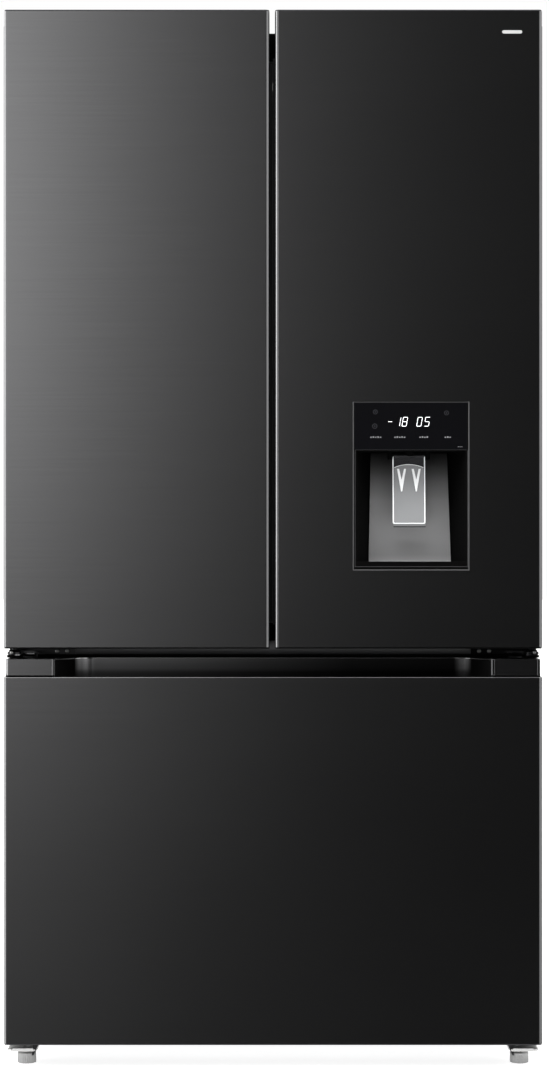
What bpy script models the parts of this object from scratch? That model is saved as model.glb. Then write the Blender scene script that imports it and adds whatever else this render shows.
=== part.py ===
"""French door refrigerator: two fridge doors over one freezer drawer, with a dispenser in the right door.

Metres, +Z up. The front faces -Y, and the origin is on the floor under the middle of the cabinet.
"""

import math

import bmesh
import bpy
from mathutils import Matrix, Vector

# Overall size
WIDTH = 0.911
HEIGHT = 1.790
DEPTH = 0.735
GAP = 0.0003

# Planes across the depth
FRONT = -DEPTH / 2
BACK = DEPTH / 2
DOOR_THICKNESS = 0.075
GASKET_THICKNESS = 0.012
DOOR_INNER = FRONT + DOOR_THICKNESS
CABINET_FRONT = DOOR_INNER + GASKET_THICKNESS
CABINET_BACK = 0.352

# Cabinet
HALF = WIDTH / 2
CABINET_HALF = 0.4545
CABINET_TOP = 1.768
CABINET_BOTTOM = 0.0285
SHEET = 0.002
LINER = 0.003
FLANGE_HALF = 0.4265
RAIL_BOTTOM = 0.662
RAIL_TOP = 0.727
FRIDGE_HALF = 0.405
FRIDGE_BOTTOM = 0.745
FRIDGE_TOP = 1.725
FREEZER_HALF = 0.400
FREEZER_BOTTOM = 0.090
FREEZER_TOP = 0.645
CAVITY_BACK = 0.285
STEP_Y = 0.100
STEP_Z = 0.262
MACHINE_Y = 0.128
MACHINE_TOP = 0.225

# Doors and drawer
DOOR_BOTTOM = 0.710
DOOR_GAP_HALF = 0.006
EDGE_CAP = 0.002
CAP_INSET = 0.0004
BEND_RADIUS = 0.006
DRAWER_BOTTOM = 0.040
DRAWER_LIP = 0.662
DRAWER_TOP = 0.692
HINGE_X = 0.440
HINGE_Y = FRONT + 0.030
NOTCH_BOTTOM = 1.762
NOTCH_INNER_X = 0.380
MULLION_PIVOT = (-0.044, -0.2715)

# Dispenser, in the right door
PANEL_X = (0.1375, 0.3285)
PANEL_Z = (1.046, 1.126)
FRAME_X = (0.1346, 0.3320)
FRAME_Z = (0.842, 1.1275)
NICHE_X = (0.1400, 0.3276)
NICHE_Z = (0.8565, 1.044)
LEVER_PIVOT = (0.232, FRONT + 0.048, 1.037)

# Pieces inside
SHELF_FRONT = -0.130
SHELF_BACK = 0.258
UPPER_SHELF_Z = 1.440
LOWER_SHELF_Z = 1.190
COVER_Z = 0.955
BIN_HEIGHT = 0.090
LEFT_BIN_LEVELS = (0.985, 1.215, 1.455)
RIGHT_BIN_LEVEL = 1.430
TANK_Z = (1.165, 1.330)
TANK_CAP_HINGE = (0.230, -0.262, 1.3322)
RUNNER_Y = (-0.268, 0.182)
FAN_CENTRE_Z = 0.560
CONDENSER_FAN_CENTRE = (0.105, 0.240, 0.127)

# Feet and wheels
FOOT_X = 0.4215
FOOT_Y = FRONT + 0.055
FOOT_RADIUS = 0.016
FOOT_HEIGHT = 0.0173
WHEEL_X = 0.410
WHEEL_Y = 0.300
WHEEL_RADIUS = 0.025

# Colour, roughness and metallic value of each kind of surface
DARK_STEEL = ((0.075, 0.075, 0.078), 0.38, 1.0)
CABINET_PAINT = ((0.050, 0.050, 0.052), 0.50, 0.2)
GALVANISED = ((0.55, 0.56, 0.57), 0.42, 1.0)
ZINC = ((0.66, 0.66, 0.64), 0.33, 1.0)
WHITE_PLASTIC = ((0.80, 0.81, 0.82), 0.42, 0.0)
CLEAR_PLASTIC = ((0.74, 0.80, 0.83), 0.12, 0.0)
GREY_PLASTIC = ((0.17, 0.17, 0.17), 0.40, 0.0)
BLACK_PLASTIC = ((0.018, 0.018, 0.019), 0.35, 0.0)
BLACK_GLASS = ((0.008, 0.008, 0.009), 0.06, 0.0)
BLACK_RUBBER = ((0.022, 0.022, 0.022), 0.70, 0.0)
SHELF_GLASS = ((0.62, 0.76, 0.74), 0.05, 0.0)
FOAM = ((0.78, 0.68, 0.42), 0.90, 0.0)
BLACK_IRON = ((0.020, 0.020, 0.021), 0.45, 0.4)


# ---------------------------------------------------------------- tools


def new_collection(name):
    """A collection in the scene."""
    made = bpy.data.collections.new(name)
    bpy.context.scene.collection.children.link(made)
    return made


def add_object(name, mesh, location=(0, 0, 0), collection=None):
    """An object for a mesh, in the parts or in another collection."""
    made = bpy.data.objects.new(name, mesh)
    made.location = location
    (collection or PARTS).objects.link(made)
    return made


def add_cutter(name, mesh, location):
    """An object that only shapes others, shown as wires."""
    made = add_object(name, mesh, location, CUTTERS)
    made.hide_render = True
    made.display_type = "WIRE"
    return made


def box_mesh(name, low, high):
    """A box's mesh about its own middle, with that middle."""
    low, high = Vector(low), Vector(high)
    mesh = bpy.data.meshes.new(name)
    work = bmesh.new()
    bmesh.ops.create_cube(work, size=1.0, matrix=Matrix.Diagonal((*(high - low), 1.0)))
    work.to_mesh(mesh)
    work.free()
    return mesh, (low + high) / 2


def cylinder_mesh(name, radius, start, end, segments):
    """A closed cylinder's mesh from one point to another, about its middle."""
    start, end = Vector(start), Vector(end)
    line = end - start
    turn = line.to_track_quat("Z", "Y").to_matrix().to_4x4()
    mesh = bpy.data.meshes.new(name)
    work = bmesh.new()
    bmesh.ops.create_cone(
        work, cap_ends=True, segments=segments, radius1=radius, radius2=radius, depth=line.length, matrix=turn
    )
    work.to_mesh(mesh)
    work.free()
    return mesh, (start + end) / 2


def plate_mesh(name, outline, low, high, axis="Z"):
    """A flat outline's mesh, extruded along an axis from low to high.

    The outline's points are (x, y) for axis Z, (y, z) for axis X and (x, z) for axis Y.
    """
    curve = bpy.data.curves.new(name, "CURVE")
    curve.dimensions = "2D"
    curve.fill_mode = "BOTH"
    curve.extrude = (high - low) / 2
    spline = curve.splines.new("POLY")
    spline.points.add(len(outline) - 1)
    for point, (across, up) in zip(spline.points, outline):
        point.co = (across, up, 0.0, 1.0)
    spline.use_cyclic_u = True
    drawn = bpy.data.objects.new(name, curve)
    CUTTERS.objects.link(drawn)
    shape = drawn.evaluated_get(bpy.context.evaluated_depsgraph_get())
    mesh = bpy.data.meshes.new_from_object(shape)
    bpy.data.objects.remove(drawn)
    bpy.data.curves.remove(curve)
    middle = (low + high) / 2
    to_axis = {
        "X": Matrix(((0, 0, 1, middle), (1, 0, 0, 0), (0, 1, 0, 0), (0, 0, 0, 1))),
        "Y": Matrix(((1, 0, 0, 0), (0, 0, -1, middle), (0, 1, 0, 0), (0, 0, 0, 1))),
        "Z": Matrix.Translation((0, 0, middle)),
    }
    work = bmesh.new()
    work.from_mesh(mesh)
    bmesh.ops.remove_doubles(work, verts=work.verts, dist=1e-6)
    bmesh.ops.transform(work, verts=work.verts, matrix=to_axis[axis])
    bmesh.ops.recalc_face_normals(work, faces=work.faces)
    work.to_mesh(mesh)
    work.free()
    return mesh


def box(name, low, high):
    """A box part between two corners."""
    return add_object(name, *box_mesh(name, low, high))


def cylinder(name, radius, start, end, segments=20):
    """A cylinder part between two points."""
    return add_object(name, *cylinder_mesh(name, radius, start, end, segments))


def plate(name, outline, low, high, axis="Z"):
    """A part with a flat outline."""
    return add_object(name, plate_mesh(name, outline, low, high, axis))


def turned(name, profile, location, segments, axis="Z"):
    """A turned part: its profile runs down the outer side, from the axis to the axis."""
    mesh = bpy.data.meshes.new(name)
    work = bmesh.new()
    points = [work.verts.new((radius, 0.0, height)) for radius, height in profile]
    for first, second in zip(points, points[1:]):
        work.edges.new((first, second))
    work.to_mesh(mesh)
    work.free()
    made = add_object(name, mesh, location)
    if axis == "X":
        made.rotation_euler.y = math.pi / 2
    screw = made.modifiers.new("Turn", "SCREW")
    screw.axis = "Z"
    screw.steps = segments
    screw.render_steps = segments
    screw.use_merge_vertices = True
    screw.merge_threshold = 0.00001
    return made


def use(made, cutter, operation):
    """A Boolean between a part and a cutter."""
    boolean = made.modifiers.new(cutter.name, "BOOLEAN")
    boolean.operation = operation
    boolean.solver = "EXACT"
    boolean.object = cutter


def cut_box(made, name, low, high):
    """Cuts a box out of a part."""
    use(made, add_cutter(name, *box_mesh(name, low, high)), "DIFFERENCE")


def join_box(made, name, low, high):
    """Joins a box to a part."""
    use(made, add_cutter(name, *box_mesh(name, low, high)), "UNION")


def cut_round(made, name, radius, start, end, segments=16):
    """Drills a part from one point to another."""
    use(made, add_cutter(name, *cylinder_mesh(name, radius, start, end, segments)), "DIFFERENCE")


def join_round(made, name, radius, start, end, segments=16):
    """Joins a round bar to a part."""
    use(made, add_cutter(name, *cylinder_mesh(name, radius, start, end, segments)), "UNION")


def cut_plate(made, name, outline, low, high, axis="Z"):
    """Cuts an extruded outline out of a part."""
    use(made, add_cutter(name, plate_mesh(name, outline, low, high, axis), (0, 0, 0)), "DIFFERENCE")


def join_plate(made, name, outline, low, high, axis="Z"):
    """Joins an extruded outline to a part."""
    use(made, add_cutter(name, plate_mesh(name, outline, low, high, axis), (0, 0, 0)), "UNION")


def round_edges(made, width, segments=2):
    """Rounds a part's sharp edges."""
    bevel = made.modifiers.new("Round", "BEVEL")
    bevel.width = width
    bevel.segments = segments
    bevel.limit_method = "ANGLE"
    bevel.angle_limit = math.radians(40)


def smooth(made):
    """Shades a round part smooth, apart from its sharp edges."""
    made.data.shade_smooth()
    made.data.set_sharp_from_angle(angle=math.radians(35))


def finish(made, surface):
    """Gives a part its own material."""
    colour, roughness, metallic = surface
    material = bpy.data.materials.new(made.name)
    material.use_nodes = True
    shader = material.node_tree.nodes["Principled BSDF"]
    shader.inputs["Base Color"].default_value = (*colour, 1.0)
    shader.inputs["Roughness"].default_value = roughness
    shader.inputs["Metallic"].default_value = metallic
    material.diffuse_color = (*colour, 1.0)
    made.data.materials.append(material)
    return made


def arc(centre, radius, first, last, steps):
    """Points along an arc, in degrees."""
    angles = [math.radians(first + (last - first) * step / steps) for step in range(steps + 1)]
    return [(centre[0] + radius * math.cos(angle), centre[1] + radius * math.sin(angle)) for angle in angles]


def rounded(low, high, radius, steps=3):
    """A rectangle's outline with round corners."""
    corners = (
        ((high[0] - radius, high[1] - radius), 0),
        ((low[0] + radius, high[1] - radius), 90),
        ((low[0] + radius, low[1] + radius), 180),
        ((high[0] - radius, low[1] + radius), 270),
    )
    return [point for centre, first in corners for point in arc(centre, radius, first, first + 90, steps)]


def sided(side, low, high):
    """A box's corners, given for the right side, moved to a side: +1 is right and -1 is left."""
    if side > 0:
        return low, high
    return (-high[0], low[1], low[2]), (-low[0], high[1], high[2])


def mirrored(side, outline):
    """An outline given for the right side, moved to a side and kept in the same turning sense."""
    if side > 0:
        return outline
    return [(-across, up) for across, up in reversed(outline)]


def pivot(name, location, parts):
    """An empty on a joint's axis that carries its parts."""
    made = bpy.data.objects.new(name, None)
    made.location = location
    made.empty_display_size = 0.05
    PARTS.objects.link(made)
    for part in parts:
        part.parent = made
        part.matrix_parent_inverse = Matrix.Translation(made.location).inverted()
    return made


# ---------------------------------------------------------------- cabinet


def cabinet_shell():
    """Bent sheet over both sides and the top, with a front flange and the rail between the openings."""
    shell = box(
        "cabinet_shell",
        (-CABINET_HALF, CABINET_FRONT, CABINET_BOTTOM),
        (CABINET_HALF, CABINET_BACK, CABINET_TOP),
    )
    inner = CABINET_HALF - SHEET
    cut_box(shell, "shell_inside", (-inner, CABINET_FRONT + SHEET, -0.02), (inner, 0.40, CABINET_TOP - SHEET))
    cut_box(shell, "fridge_mouth", (-FLANGE_HALF, -0.35, RAIL_TOP), (FLANGE_HALF, -0.25, 1.7395))
    cut_box(shell, "freezer_mouth", (-FLANGE_HALF, -0.35, -0.03), (FLANGE_HALF, -0.25, RAIL_BOTTOM))
    join_box(
        shell,
        "rail_core",
        (-FLANGE_HALF - 0.001, CABINET_FRONT + 0.001, RAIL_BOTTOM + SHEET),
        (FLANGE_HALF + 0.001, CABINET_FRONT + 0.0185, RAIL_TOP - SHEET),
    )
    return finish(shell, CABINET_PAINT)


def rear_panel():
    """Galvanised sheet that closes the back above the machine compartment."""
    panel = box(
        "rear_panel",
        (-CABINET_HALF, CABINET_BACK + GAP, 0.262),
        (CABINET_HALF, CABINET_BACK + GAP + SHEET, CABINET_TOP),
    )
    return finish(panel, GALVANISED)


def base_pan():
    """Pressed floor of the cabinet, with a front flange and the lugs of the rear wheels."""
    pan = box("base_pan", (-0.452, CABINET_FRONT + 0.0025, 0.030), (0.452, 0.350, 0.033))
    join_box(pan, "pan_flange", (-0.426, CABINET_FRONT, 0.030), (0.426, CABINET_FRONT + LINER, 0.062))
    for side in (-1, 1):
        cut_box(pan, "wheel_slot", *sided(side, (0.3941, 0.268, 0.0), (0.4259, 0.332, 0.05)))
        for near in (0.390, 0.4260):
            join_box(
                pan,
                "wheel_lug",
                *sided(side, (near, WHEEL_Y - 0.015, 0.013), (near + 0.004, WHEEL_Y + 0.015, 0.031)),
            )
    return finish(pan, GALVANISED)


def fridge_liner():
    """Moulded tub of the fridge compartment, with a flange and ledges for the shelves."""
    liner = box("fridge_liner", (-0.408, CABINET_FRONT, 0.742), (0.408, 0.288, 1.728))
    join_box(
        liner,
        "fridge_flange",
        (-FLANGE_HALF + GAP, CABINET_FRONT, RAIL_TOP + GAP),
        (FLANGE_HALF - GAP, CABINET_FRONT + LINER, 1.7392),
    )
    cut_box(
        liner,
        "fridge_cavity",
        (-FRIDGE_HALF, -0.32, FRIDGE_BOTTOM),
        (FRIDGE_HALF, CAVITY_BACK, FRIDGE_TOP),
    )
    for level in (UPPER_SHELF_Z, LOWER_SHELF_Z, COVER_Z):
        for side in (-1, 1):
            join_box(
                liner,
                "shelf_ledge",
                *sided(side, (0.397, -0.120, level - 0.012), (FRIDGE_HALF + 0.001, 0.250, level - GAP)),
            )
    return finish(liner, WHITE_PLASTIC)


def freezer_liner():
    """Moulded tub of the freezer, stepped over the machine compartment."""
    liner = box("freezer_liner", (-0.403, CABINET_FRONT, 0.087), (0.403, 0.103, 0.648))
    join_box(liner, "rear_tub", (-0.403, 0.0, STEP_Z - LINER), (0.403, 0.288, 0.648))
    join_box(
        liner,
        "freezer_flange",
        (-FLANGE_HALF + GAP, CABINET_FRONT, 0.0623),
        (FLANGE_HALF - GAP, CABINET_FRONT + LINER, RAIL_BOTTOM - GAP),
    )
    cut_box(
        liner, "low_cavity", (-FREEZER_HALF, -0.32, FREEZER_BOTTOM), (FREEZER_HALF, STEP_Y, FREEZER_TOP)
    )
    cut_box(liner, "high_cavity", (-FREEZER_HALF, -0.32, STEP_Z), (FREEZER_HALF, CAVITY_BACK, FREEZER_TOP))
    return finish(liner, WHITE_PLASTIC)


def insulation_foam():
    """Foam that fills the space between the sheet and the two tubs."""
    inner = CABINET_HALF - SHEET - GAP
    foam = box(
        "insulation_foam",
        (-inner, CABINET_FRONT + LINER + GAP, 0.0333),
        (inner, CABINET_BACK - GAP, CABINET_TOP - SHEET - GAP),
    )
    cut_box(foam, "fridge_room", (-0.4083, -0.30, 0.7417), (0.4083, 0.2883, 1.7283))
    cut_box(foam, "freezer_room", (-0.4033, -0.30, 0.0867), (0.4033, 0.1033, 0.6483))
    cut_box(foam, "freezer_step_room", (-0.4033, -0.30, STEP_Z - LINER - GAP), (0.4033, 0.2883, 0.6483))
    cut_box(foam, "rail_room", (-0.4278, -0.30, 0.6637), (0.4278, -0.2617, 0.7253))
    cut_box(foam, "machine_room", (-0.47, MACHINE_Y, 0.0), (0.47, 0.40, MACHINE_TOP))
    return finish(foam, FOAM)


def hinge_outline(side, grow):
    """The top hinge seen from above: a round nose on the door's pin, and a wide root on the cabinet."""
    nose = arc((HINGE_X, HINGE_Y), 0.0095 + grow, 180, 360, 10)
    root = [
        (0.4495 + grow, -0.290),
        (0.4520 + min(grow, 0.002), -0.276),
        (0.4520 + min(grow, 0.002), -0.205 + grow),
        (0.4020 - grow, -0.205 + grow),
        (0.4020 - grow, -0.274 - grow),
        (0.4305 - grow, -0.288 - grow),
    ]
    return mirrored(side, nose + root)


def top_hinge(side, name):
    """Steel arm on the cabinet's top, with the pin that enters the door from above."""
    hinge = plate(name, hinge_outline(side, 0.0), CABINET_TOP + GAP, CABINET_TOP + 0.0043)
    join_round(hinge, "top_pin", 0.005, (side * HINGE_X, HINGE_Y, 1.745), (side * HINGE_X, HINGE_Y, 1.7715))
    return finish(hinge, ZINC)


def hinge_cover(side, name):
    """Moulded cap over the top hinge."""
    cover = plate(name, hinge_outline(side, 0.0023), CABINET_TOP + GAP, HEIGHT - 0.002)
    cut_plate(cover, "cover_inside", hinge_outline(side, 0.0006), 1.70, 1.7828)
    round_edges(cover, 0.0012, 2)
    return finish(cover, BLACK_PLASTIC)


def middle_hinge(side, name):
    """Bracket in the gap under a door: a flange on the cabinet, an arm and the door's lower pin."""
    behind = CABINET_FRONT - GAP
    hinge = box(name, *sided(side, (0.341, behind - SHEET, 0.6935), (0.4535, behind, 0.7075)))
    root = [(0.452, behind - 0.0007), (0.395, behind - 0.0007), (0.4280, -0.300)]
    arm = arc((HINGE_X, HINGE_Y), 0.0120, 180, 360, 10) + root
    join_plate(hinge, "hinge_arm", mirrored(side, arm), 0.6990, 0.7030)
    join_round(hinge, "low_pin", 0.005, (side * HINGE_X, HINGE_Y, 0.6975), (side * HINGE_X, HINGE_Y, 0.726))
    return finish(hinge, ZINC)


def shelf(name, level):
    """Glass shelf with a thick front and rear rim."""
    made = box(name, (-0.4030, SHELF_FRONT, level), (0.4030, SHELF_BACK, level + 0.005))
    low, high = level - 0.006, level + 0.009
    join_box(made, "front_rim", (-0.3960, SHELF_FRONT, low), (0.3960, SHELF_FRONT + 0.016, high))
    join_box(made, "rear_rim", (-0.3960, SHELF_BACK - 0.010, low), (0.3960, SHELF_BACK, high))
    return finish(made, SHELF_GLASS)


def air_duct_cover():
    """Panel over the cold air duct at the back of the fridge, with pairs of vents."""
    cover = box("air_duct_cover", (-0.120, 0.262, 0.975), (0.120, CAVITY_BACK - GAP, 1.700))
    cut_box(cover, "duct", (-0.112, 0.265, 0.985), (0.112, 0.30, 1.690))
    for row in range(5):
        level = 1.050 + 0.130 * row
        for side in (-1, 1):
            cut_box(cover, "vent", *sided(side, (0.040, 0.25, level), (0.095, 0.27, level + 0.012)))
    return finish(cover, WHITE_PLASTIC)


def evaporator_cover():
    """Panel in front of the evaporator, with the fan's opening and a bar that holds its motor."""
    cover = box("evaporator_cover", (-0.3985, 0.195, STEP_Z + GAP), (0.3985, CAVITY_BACK - GAP, 0.6440))
    cut_box(cover, "evaporator_room", (-0.3955, 0.198, 0.2655), (0.3955, 0.30, 0.6410))
    cut_round(cover, "fan_opening", 0.056, (0, 0.15, FAN_CENTRE_Z), (0, 0.22, FAN_CENTRE_Z), 28)
    low, high = FAN_CENTRE_Z - 0.008, FAN_CENTRE_Z + 0.008
    join_box(cover, "motor_bar", (-0.075, 0.236, low), (0.075, 0.250, high))
    for side in (-1, 1):
        join_box(cover, "motor_post", *sided(side, (0.063, 0.197, low), (0.075, 0.240, high)))
        for row in range(3):
            level = 0.300 + 0.040 * row
            cut_box(cover, "intake", *sided(side, (0.080, 0.18, level), (0.320, 0.21, level + 0.012)))
    return finish(cover, WHITE_PLASTIC)


def evaporator():
    """Finned block of the evaporator."""
    block = box("evaporator", (-0.250, 0.212, 0.285), (0.250, 0.272, 0.465))
    fins = 20
    pitch = 0.500 / fins
    for fin in range(fins):
        middle = -0.250 + pitch * (fin + 0.5)
        cut_box(block, "fin_gap", (middle - 0.008, 0.20, 0.27), (middle + 0.008, 0.258, 0.48))
    return finish(block, GALVANISED)


def compressor():
    """Sealed pot on its foot plate."""
    pot = turned(
        "compressor",
        [(0.0, 0.165)]
        + [(0.074 * math.cos(a), 0.110 + 0.055 * math.sin(a)) for a in (1.2, 0.9, 0.6, 0.3, 0.0)]
        + [(0.074 * math.cos(a), 0.055 + 0.045 * math.sin(a)) for a in (0.0, -0.4, -0.8, -1.2)]
        + [(0.0, 0.010)],
        (-0.200, 0.240, 0.0336),
        24,
    )
    join_box(pot, "pot_foot", (-0.300, 0.185, 0.0336), (-0.100, 0.295, 0.0500))
    join_round(pot, "suction_stub", 0.005, (-0.200, 0.240, 0.180), (-0.090, 0.240, 0.180), 10)
    smooth(pot)
    return finish(pot, BLACK_IRON)


def condenser():
    """Serpentine tube of the condenser, welded to its two end plates."""
    runs, pitch, radius = 7, 0.026, 0.004
    curve = bpy.data.curves.new("condenser", "CURVE")
    curve.dimensions = "3D"
    curve.bevel_depth = radius
    curve.bevel_resolution = 1
    curve.use_fill_caps = True
    spline = curve.splines.new("POLY")
    points = []
    for run in range(runs):
        level = 0.050 + pitch * run
        ends = (0.165, 0.315) if run % 2 == 0 else (0.315, 0.165)
        points.append((0.300, ends[0], level))
        points.append((0.300, ends[1], level))
        if run < runs - 1:
            turn = 1 if ends[1] > ends[0] else -1
            middle = level + pitch / 2
            for angle in (-0.9, -0.3, 0.3, 0.9):
                across = ends[1] + turn * pitch / 2 * math.cos(angle)
                points.append((0.300, across, middle + pitch / 2 * math.sin(angle)))
    spline.points.add(len(points) - 1)
    for point, place in zip(spline.points, points):
        point.co = (*place, 1.0)
    drawn = bpy.data.objects.new("condenser_tube", curve)
    CUTTERS.objects.link(drawn)
    mesh = bpy.data.meshes.new_from_object(drawn.evaluated_get(bpy.context.evaluated_depsgraph_get()))
    mesh.name = "condenser"
    bpy.data.objects.remove(drawn)
    work = bmesh.new()
    work.from_mesh(mesh)
    bmesh.ops.remove_doubles(work, verts=work.verts, dist=1e-5)
    work.to_mesh(mesh)
    work.free()
    tube = add_object("condenser", mesh)
    for place in (0.190, 0.290):
        join_box(tube, "tube_plate", (0.288, place, 0.0336), (0.312, place + 0.003, 0.216))
    smooth(tube)
    return finish(tube, BLACK_IRON)


def fan_shroud():
    """Plate with a round opening for the condenser's fan, and the bar that holds its motor."""
    x, y, z = CONDENSER_FAN_CENTRE
    shroud = box("fan_shroud", (x - 0.007, 0.135, 0.0336), (x - 0.003, 0.345, 0.2245))
    cut_round(shroud, "shroud_opening", 0.074, (x - 0.05, y, z), (x + 0.05, y, z), 28)
    join_box(shroud, "shroud_bar", (x - 0.030, y - 0.092, z - 0.008), (x - 0.018, y + 0.092, z + 0.008))
    for near in (y - 0.092, y + 0.082):
        join_box(shroud, "shroud_post", (x - 0.022, near, z - 0.008), (x - 0.004, near + 0.010, z + 0.008))
    return finish(shroud, BLACK_PLASTIC)


def machine_cover():
    """Louvred sheet behind the machine compartment, with ribs that keep it off the wall."""
    cover = box(
        "machine_cover",
        (-CABINET_HALF, CABINET_BACK + GAP, 0.040),
        (CABINET_HALF, CABINET_BACK + 0.0043, 0.2615),
    )
    for side in (-1, 1):
        join_box(cover, "wall_rib", *sided(side, (0.430, CABINET_BACK + 0.002, 0.060), (0.442, BACK, 0.240)))
        for row in range(7):
            level = 0.075 + 0.022 * row
            cut_box(cover, "louvre", *sided(side, (0.060, 0.34, level), (0.360, 0.37, level + 0.008)))
    return finish(cover, GALVANISED)


def foot_bracket(side, name):
    """Zinc plate under the base with a folded front lip, round at its outer corner, and a stiffener."""
    outline = (
        [(0.402, -0.180), (0.402, -0.335), (0.408, -0.3425)]
        + arc((0.442, -0.3325), 0.010, 270, 360, 4)
        + [(0.452, -0.180)]
    )
    bracket = plate(name, mirrored(side, outline), 0.0240, 0.0270)
    join_box(bracket, "front_lip", *sided(side, (0.408, -0.3425, 0.0245), (0.443, -0.3400, 0.0290)))
    join_box(bracket, "stiffener", *sided(side, (0.402, -0.334, 0.0262), (0.4070, -0.2820, 0.0380)))
    join_box(bracket, "base_block", *sided(side, (0.4030, -0.277, 0.0262), (0.446, -0.182, 0.0297)))
    cut_round(bracket, "foot_hole", 0.0056, (side * FOOT_X, FOOT_Y, 0.0), (side * FOOT_X, FOOT_Y, 0.04))
    return finish(bracket, ZINC)


def cabinet_rail(side, name):
    """Fixed member of a telescopic slide, on the freezer's side wall."""
    rail = box(
        name, *sided(side, (0.3945, RUNNER_Y[0], 0.425), (FREEZER_HALF - GAP, RUNNER_Y[1], 0.465))
    )
    return finish(rail, ZINC)


# ---------------------------------------------------------------- turning pieces on the cabinet


def fan(name, centre, radius, hub_radius, axis, thickness):
    """Five tilted blades on a hub."""
    spin = {"X": Matrix.Rotation(math.pi / 2, 4, "Y"), "Y": Matrix.Rotation(-math.pi / 2, 4, "X")}[axis]
    along = spin @ Vector((0, 0, 1))
    middle = Vector(centre)
    hub = cylinder(name, hub_radius, middle - along * thickness / 2, middle + along * thickness / 2, 20)
    join_round(hub, "fan_shaft", 0.003, middle - along * 0.012, middle + along * 0.012, 10)
    blades = 5
    for blade in range(blades):
        mesh, _ = box_mesh("blade", (0, 0, 0), (radius - hub_radius * 0.6, radius * 0.50, 0.0024))
        tilt = Matrix.Rotation(math.radians(24), 4, "X")
        out = Matrix.Translation((hub_radius * 0.3 + radius / 2, 0, 0))
        swing = Matrix.Rotation(math.radians(360 / blades * blade), 4, "Z")
        mesh.transform(Matrix.Translation(middle) @ spin @ swing @ out @ tilt)
        use(hub, add_cutter("blade", mesh, (0, 0, 0)), "UNION")
    smooth(hub)
    return finish(hub, BLACK_PLASTIC)


def front_foot(side, name):
    """Levelling foot: a wide round base and the threaded stem above it."""
    foot = turned(
        name,
        [
            (0.0, 0.026),
            (0.005, 0.026),
            (0.005, FOOT_HEIGHT),
            (FOOT_RADIUS - 0.001, FOOT_HEIGHT),
            (FOOT_RADIUS, FOOT_HEIGHT - 0.001),
            (FOOT_RADIUS, 0.003),
            (FOOT_RADIUS - 0.002, 0.0),
            (0.0, 0.0),
        ],
        (side * FOOT_X, FOOT_Y, 0.0),
        24,
    )
    smooth(foot)
    return finish(foot, ZINC)


def rear_wheel(side, name):
    """Wheel under the back corner, with a hub between its lugs."""
    wheel = turned(
        name,
        [
            (0.0, 0.0156),
            (0.008, 0.0156),
            (0.008, 0.012),
            (WHEEL_RADIUS - 0.002, 0.012),
            (WHEEL_RADIUS, 0.010),
            (WHEEL_RADIUS, -0.010),
            (WHEEL_RADIUS - 0.002, -0.012),
            (0.008, -0.012),
            (0.008, -0.0156),
            (0.0, -0.0156),
        ],
        (side * WHEEL_X, WHEEL_Y, WHEEL_RADIUS),
        28,
        "X",
    )
    smooth(wheel)
    return finish(wheel, BLACK_PLASTIC)


# ---------------------------------------------------------------- trays and bins


def open_tray(name, low, high, wall, surface):
    """An open-topped moulded tub with round upright corners."""
    tray = plate(name, rounded(low[:2], high[:2], 0.014, 3), low[2], high[2])
    cut_plate(
        tray,
        name + "_inside",
        rounded((low[0] + wall, low[1] + wall), (high[0] - wall, high[1] - wall), 0.014 - wall, 3),
        low[2] + wall,
        high[2] + 0.05,
    )
    return finish(tray, surface)


def crisper(side, name):
    """Vegetable drawer with a grip along its front edge."""
    low, high = sided(side, (0.006, -0.118, FRIDGE_BOTTOM + 0.0005), (0.395, 0.250, 0.938))
    tub = open_tray(name, low, high, 0.0035, CLEAR_PLASTIC)
    join_box(tub, "grip", (low[0] + 0.06, -0.126, 0.905), (high[0] - 0.06, -0.116, 0.938))
    return tub


def door_bin(name, side, level):
    """Bin between the door's inner walls."""
    low, high = sided(side, (0.0895, -0.2990, level), (0.3705, -0.178, level + BIN_HEIGHT))
    return open_tray(name, low, high, 0.003, CLEAR_PLASTIC)


# ---------------------------------------------------------------- doors


def bent_front(name, low_x, high_x, low_z, high_z):
    """Front sheet with round vertical bends and both side returns."""
    back = FRONT + 0.068
    outer, inner = BEND_RADIUS, BEND_RADIUS - SHEET
    outline = (
        [(low_x, back)]
        + arc((low_x + outer, FRONT + outer), outer, 180, 270, 5)
        + arc((high_x - outer, FRONT + outer), outer, 270, 360, 5)
        + [(high_x, back), (high_x - SHEET, back)]
        + arc((high_x - outer, FRONT + outer), inner, 360, 270, 5)
        + arc((low_x + outer, FRONT + outer), inner, 270, 180, 5)
        + [(low_x + SHEET, back)]
    )
    return plate(name, outline, low_z, high_z)


def notch(side):
    """The room that the top hinge needs in a door's outer corner."""
    return sided(side, (NOTCH_INNER_X, FRONT + 0.003, NOTCH_BOTTOM), (0.470, -0.27, 1.82))


def door_skin(side, name):
    """Brushed sheet of a door, cut away behind its upper corner for the hinge."""
    low, high = sided(side, (DOOR_GAP_HALF, 0, 0), (HALF, 0, 0))
    skin = bent_front(
        name, low[0], high[0], DOOR_BOTTOM + EDGE_CAP + GAP, HEIGHT - EDGE_CAP - GAP
    )
    cut_box(skin, "skin_notch", *notch(side))
    return skin


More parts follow.
